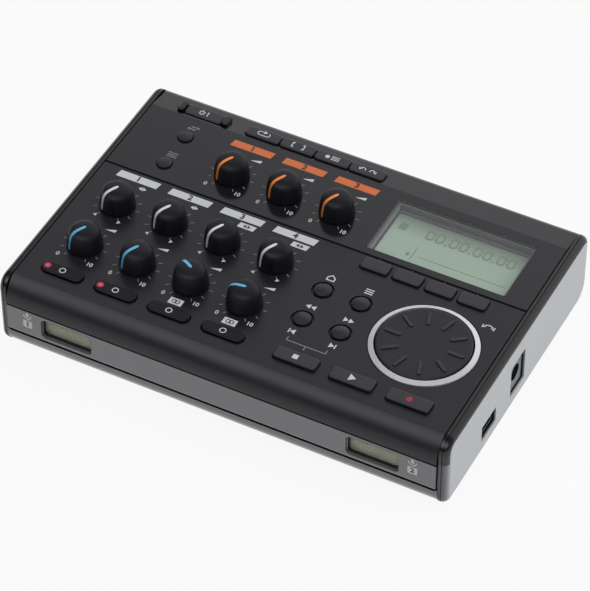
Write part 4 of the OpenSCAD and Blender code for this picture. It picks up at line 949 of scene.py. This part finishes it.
# %% [markdown]
# ## Microphone screens
# Behind each window in the front strip lies a fine woven wire screen over dark cloth. Woven wire follows a
# rule: every wire passes over one crossing wire and under the next. The tree takes a grid, lifts every
# second crossing, keeps the lines of one direction, and does the same the other way round for the other.
# Real screens have about 0.3 mm between wires. It is drawn at 0.5 mm, so that it shows at this image size.

# %% A tree for woven wire
screen_low, screen_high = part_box("mic_screens")
window_x = 53.0
window_width, window_height = screen_high.x / MM - window_x, (screen_high.z - screen_low.z) / MM
weave_sizes = {"Width": 2 * window_width * MM - 0.6 * MM, "Height": window_height * MM - 0.6 * MM,
               "Pitch": 0.5 * MM, "Wire": 0.085 * MM, "Lift": 0.07 * MM}
screen_wire = plated("tinned_screen_wire", "#CDCCBA", 0.45, 0.5)
tree, size = tree_with("woven_wire", weave_sizes)
across = add(tree, "ShaderNodeMath", {0: size["Width"], 1: size["Pitch"]}, operation="DIVIDE").outputs[0]
upward = add(tree, "ShaderNodeMath", {0: size["Height"], 1: size["Pitch"]}, operation="DIVIDE").outputs[0]
rows = add(tree, "ShaderNodeMath", {0: upward}, operation="FLOOR").outputs[0]
columns = add(tree, "ShaderNodeMath", {0: across}, operation="FLOOR").outputs[0]
grid = add(tree, "GeometryNodeMeshGrid", {"Size X": size["Width"], "Size Y": size["Height"],
                                          "Vertices X": columns, "Vertices Y": rows}).outputs[0]
index = add(tree, "GeometryNodeInputIndex").outputs[0]
column = add(tree, "ShaderNodeMath", {0: index, 1: rows}, operation="DIVIDE").outputs[0]
column = add(tree, "ShaderNodeMath", {0: column}, operation="FLOOR").outputs[0]
row = add(tree, "ShaderNodeMath", {0: index, 1: rows}, operation="MODULO").outputs[0]
crossing = add(tree, "ShaderNodeMath", {0: column, 1: row}, operation="ADD").outputs[0]
odd = add(tree, "ShaderNodeMath", {0: crossing, 1: 2.0}, operation="MODULO").outputs[0]
sign = add(tree, "ShaderNodeMath", {0: odd, 1: 2.0, 2: -1.0}, operation="MULTIPLY_ADD").outputs[0]
raise_by = add(tree, "ShaderNodeMath", {0: sign, 1: size["Lift"]}, operation="MULTIPLY").outputs[0]
lower_by = add(tree, "ShaderNodeMath", {0: raise_by, 1: -1.0}, operation="MULTIPLY").outputs[0]
ends = add(tree, "GeometryNodeInputMeshEdgeVertices").outputs
span = add(tree, "ShaderNodeVectorMath", {0: ends["Position 1"], 1: ends["Position 2"]},
           operation="SUBTRACT").outputs[0]
run = add(tree, "ShaderNodeSeparateXYZ", {0: span}).outputs["X"]
run = add(tree, "ShaderNodeMath", {0: run}, operation="ABSOLUTE").outputs[0]
hardly = 0.1 * MM
sideways = add(tree, "ShaderNodeMath", {0: run, 1: hardly}, operation="GREATER_THAN").outputs[0]
upright = add(tree, "ShaderNodeMath", {0: run, 1: hardly}, operation="LESS_THAN").outputs[0]
section = add(tree, "GeometryNodeCurvePrimitiveCircle", {"Resolution": 6, "Radius": size["Wire"]}).outputs[0]
wires = []
for lift_by, drop in ((raise_by, upright), (lower_by, sideways)):
    offset = add(tree, "ShaderNodeCombineXYZ", {2: lift_by}).outputs[0]
    waved = add(tree, "GeometryNodeSetPosition", {"Geometry": grid, "Offset": offset}).outputs[0]
    kept = add(tree, "GeometryNodeDeleteGeometry", {"Geometry": waved, "Selection": drop},
               domain="EDGE", mode="EDGE_FACE").outputs[0]
    path = add(tree, "GeometryNodeMeshToCurve", {"Mesh": kept}).outputs[0]
    wires.append(add(tree, "GeometryNodeCurveToMesh",
                     {"Curve": path, "Profile Curve": section, "Fill Caps": True}).outputs[0])
cloth = add(tree, "GeometryNodeJoinGeometry")
for wire in wires:
    tree.links.new(wire, cloth.inputs[0])
upright_turn = (math.radians(90), 0, 0)
hung = add(tree, "GeometryNodeInstanceOnPoints",
           {"Points": size["Geometry"], "Instance": cloth.outputs[0], "Rotation": upright_turn}).outputs[0]
plain = add(tree, "GeometryNodeRealizeInstances", {"Geometry": hung}).outputs[0]
smooth = add(tree, "GeometryNodeSetShadeSmooth", {"Geometry": plain}).outputs[0]
wired = add(tree, "GeometryNodeSetMaterial", {"Geometry": smooth, "Material": screen_wire}).outputs[0]
add(tree, "NodeGroupOutput", {"Geometry": wired})

window_z = (screen_low.z + screen_high.z) / 2
weave_y = screen_low.y + 0.2 * MM
window_mids = [Vector((x * MM, weave_y, window_z)) for x in (-window_x, window_x)]
weave = piece("mic_screen_weave", grown(tree, window_mids, weave_sizes), "case")


# %% Dark cloth behind the wires
acoustic_cloth = moulded("dark_acoustic_cloth", "#7E7E72", 0.85, 0.4, 0.005, drift=0.1, specular=0.2)


def facing_front(x, y, z):
    """A place on a face that looks to the front, in mm."""
    return Matrix.Translation(Vector((x, y, z)) * MM) @ Matrix.Rotation(math.radians(90), 4, "X")


cloth_faces = []
for x in (-window_x, window_x):
    cloth_faces += bar(x, 0, 2 * window_width - 0.4, window_height - 0.4)
behind = facing_front(0, screen_high.y / MM, window_z / MM)
cloth_sheet = raised(cloth_faces, behind, height=0.2, sunk=0.0)
cloth_back = piece("mic_screen_cloth", cloth_sheet, "case", acoustic_cloth)
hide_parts("mic_screens")
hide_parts("mic_screens")


# %% [markdown]
# ## Marks on the front and at the rear
# Next to each microphone window a small white block carries a number, 1 for the left and 2 for the right,
# with a microphone sign over it. At the rear the two input jacks have the same numbers, and the third jack
# has a headphone sign. All of these are prints on upright faces. A strip of black sheet in the joint between
# the front strip and the lip of the tray is painted shade.

# %% Front marks
front_z = 14.5
front_place = facing_front(0, fascia_y, front_z)
front_blocks, front_figures = [], []
for number, x in (("1", -66.8), ("2", 66.4)):
    front_blocks += bar(x, -1.5, 3.2, 2.9)
    front_blocks += bar(x, 2.5, 1.0, 1.5) + arc(x, 2.2, 1.3, 0.35, 180, 360) + bar(x, 0.65, 0.4, 0.55)
    front_figures += figures(number, 2.0, x, -1.5, bold=0.1)
front_ink = even("white_front_printing_ink", "#F6F7F8", 0.04)
piece("front_blocks", raised(front_blocks, front_place), "case", front_ink)
piece("front_figures", raised(front_figures, front_place, height=0.05), "case", dark_ink)

# A black sheet just under the joint of the front strip, as painted shade in the seam.
seam_shade_strip = moulded("black_seam_shade_strip", "#0B0B0C", 0.90, 0.5, 0.002, specular=0.05)
lip_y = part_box("bottom_cover")[0].y / MM
seam_shade_w, seam_shade_h = 147.6, 0.7
seam_shade_sheet = raised(bar(0, 0, seam_shade_w, seam_shade_h), facing_front(0, lip_y, fascia_low - seam - seam_shade_h / 2))
piece("front_seam_shade", seam_shade_sheet, "case", seam_shade_strip)


# %% Rear marks
def facing_rear(x, y, z):
    """A place on a face that looks to the rear, in mm: its own x runs to the left of the recorder."""
    return facing_front(x, y, z) @ Matrix.Rotation(math.radians(180), 4, "Y")


phones = arc(0, 0, 1.2, 0.3, 0, 180) + bar(-1.2, -0.4, 0.7, 1.2) + bar(1.2, -0.4, 0.7, 1.2)
rear_signs = figures("1", 2.0, -middle("input_a_knob").x, 0) + figures("2", 2.0, -middle("input_b_knob").x, 0)
phones_x, rear_z = 26.0, 21.6
rear_signs += shift(phones, -phones_x, 0)
piece("rear_signs", raised(rear_signs, facing_rear(0, rear_y, rear_z)), "case", white_ink)


# %% [markdown]
# ## Floor and light
# The recorder stands on a plain paper sweep. To the camera and in reflections the floor is nearly all white,
# with a little of its own shading left in, so that it keeps the shadow. What it sends back to the recorder
# is the light of a greyer paper, which keeps the undersides dark.
# The room does two jobs. It lights the recorder from a bright rear wall and from the ceiling. In reflections
# it is a wall with a sharper edge and a card over the front, which draws the sheen on the rolled front edge.
# Two lamps add light only and aren't mirrored. The right one makes the right cheek the brightest side, and
# the large one above keeps the panel even.

# %% Floor
paper_white, tree = blank(bpy.data.materials.new("white_paper_sweep"))
spot = add(tree, "ShaderNodeTexCoord").outputs["Object"]
fibre = add(tree, "ShaderNodeTexNoise", {"Vector": spot, "Scale": 1 / (40 * MM), "Detail": 2.0}).outputs[0]
tone = add(tree, "ShaderNodeMix", {0: fibre, 6: linear("#B8B8B8"), 7: linear("#BEBEBE")},
           data_type="RGBA").outputs[2]
paper = add(tree, "ShaderNodeBsdfPrincipled",
            {"Base Color": tone, "Roughness": 0.9, "Specular IOR Level": 0.1})
white = add(tree, "ShaderNodeEmission", {"Color": (1, 1, 1, 1), "Strength": 1.0})
ray = add(tree, "ShaderNodeLightPath").outputs
seen = add(tree, "ShaderNodeMath", {0: ray["Is Camera Ray"], 1: ray["Is Glossy Ray"]},
           operation="MAXIMUM").outputs[0]
seen = add(tree, "ShaderNodeMath", {0: seen, 1: ray["Is Transmission Ray"]}, operation="MAXIMUM").outputs[0]
white_share = 0.92
share = add(tree, "ShaderNodeMath", {0: seen, 1: white_share}, operation="MULTIPLY").outputs[0]
mixed = add(tree, "ShaderNodeMixShader", {0: share, 1: paper.outputs[0], 2: white.outputs[0]})
add(tree, "ShaderNodeOutputMaterial", {"Surface": mixed.outputs[0]})

reach = 8.0
corners = [(-reach, -reach, 0), (reach, -reach, 0), (reach, reach, 0), (-reach, reach, 0)]
sheet = bpy.data.meshes.new("floor")
sheet.from_pydata(corners, [], [(0, 1, 2, 3)])
sheet.materials.append(paper_white)
floor = linked("floor", sheet)
print("floor", 2 * reach, "m wide")

# %% World and lamps
scene.world, tree = blank(bpy.data.worlds.new("soft_studio"))
# A ray's way has Y to the rear and Z up. Each range runs along one of the two.
way = add(tree, "ShaderNodeTexCoord").outputs["Generated"]
way = add(tree, "ShaderNodeSeparateXYZ", {0: way}).outputs
backdrop = add(tree, "ShaderNodeMapRange", {0: way["Y"], 1: 0.5, 2: 0.95, 3: 0.2, 4: 1.0}).outputs[0]
ceiling = add(tree, "ShaderNodeMapRange", {0: way["Z"], 1: 0.70, 2: 0.95, 3: 0.0, 4: 0.5}).outputs[0]
room = add(tree, "ShaderNodeMath", {0: backdrop, 1: ceiling}, operation="ADD").outputs[0]
above = add(tree, "ShaderNodeMapRange", {0: way["Z"], 1: 0.35, 2: 0.70, 3: 0.0, 4: 1.0}).outputs[0]
in_front = add(tree, "ShaderNodeMapRange", {0: way["Y"], 1: -0.05, 2: -0.55, 3: 0.0, 4: 2.2}).outputs[0]
wall = add(tree, "ShaderNodeMapRange", {0: way["Y"], 1: 0.52, 2: 0.68, 3: 0.2, 4: 1.15}).outputs[0]
mirrored = add(tree, "ShaderNodeMath", {0: above, 1: in_front, 2: wall}, operation="MULTIPLY_ADD").outputs[0]
ray = add(tree, "ShaderNodeLightPath").outputs
strength = add(tree, "ShaderNodeMix", {0: ray["Is Glossy Ray"], 2: room, 3: mirrored},
               data_type="FLOAT").outputs[0]
seen = add(tree, "ShaderNodeMath", {0: ray["Is Camera Ray"], 1: ray["Is Transmission Ray"]},
           operation="MAXIMUM").outputs[0]
strength = add(tree, "ShaderNodeMix", {0: seen, 2: strength, 3: 1.0}, data_type="FLOAT").outputs[0]
sky = add(tree, "ShaderNodeBackground", {"Color": (1, 1, 1, 1), "Strength": strength})
add(tree, "ShaderNodeOutputWorld", {"Surface": sky.outputs[0]})


def softbox(name, at, size, power):
    """A square lamp that looks at the recorder."""
    lamp = bpy.data.lights.new(name, "AREA")
    lamp.shape = "SQUARE"
    lamp.size = size
    lamp.energy = power
    holder = linked(name, lamp)
    holder.location = at
    holder.rotation_euler = (Vector((0, 0, 0.02)) - Vector(at)).to_track_quat("-Z", "Y").to_euler()
    holder.visible_glossy = False
    print(name, "gives", lamp.energy, "W")


softbox("right_softbox", (1.5, 0.5, 0.9), 1.6, 22)
softbox("top_softbox", (-0.5, 0.15, 1.8), 1.8, 13)
scene.view_settings.view_transform = "Standard"
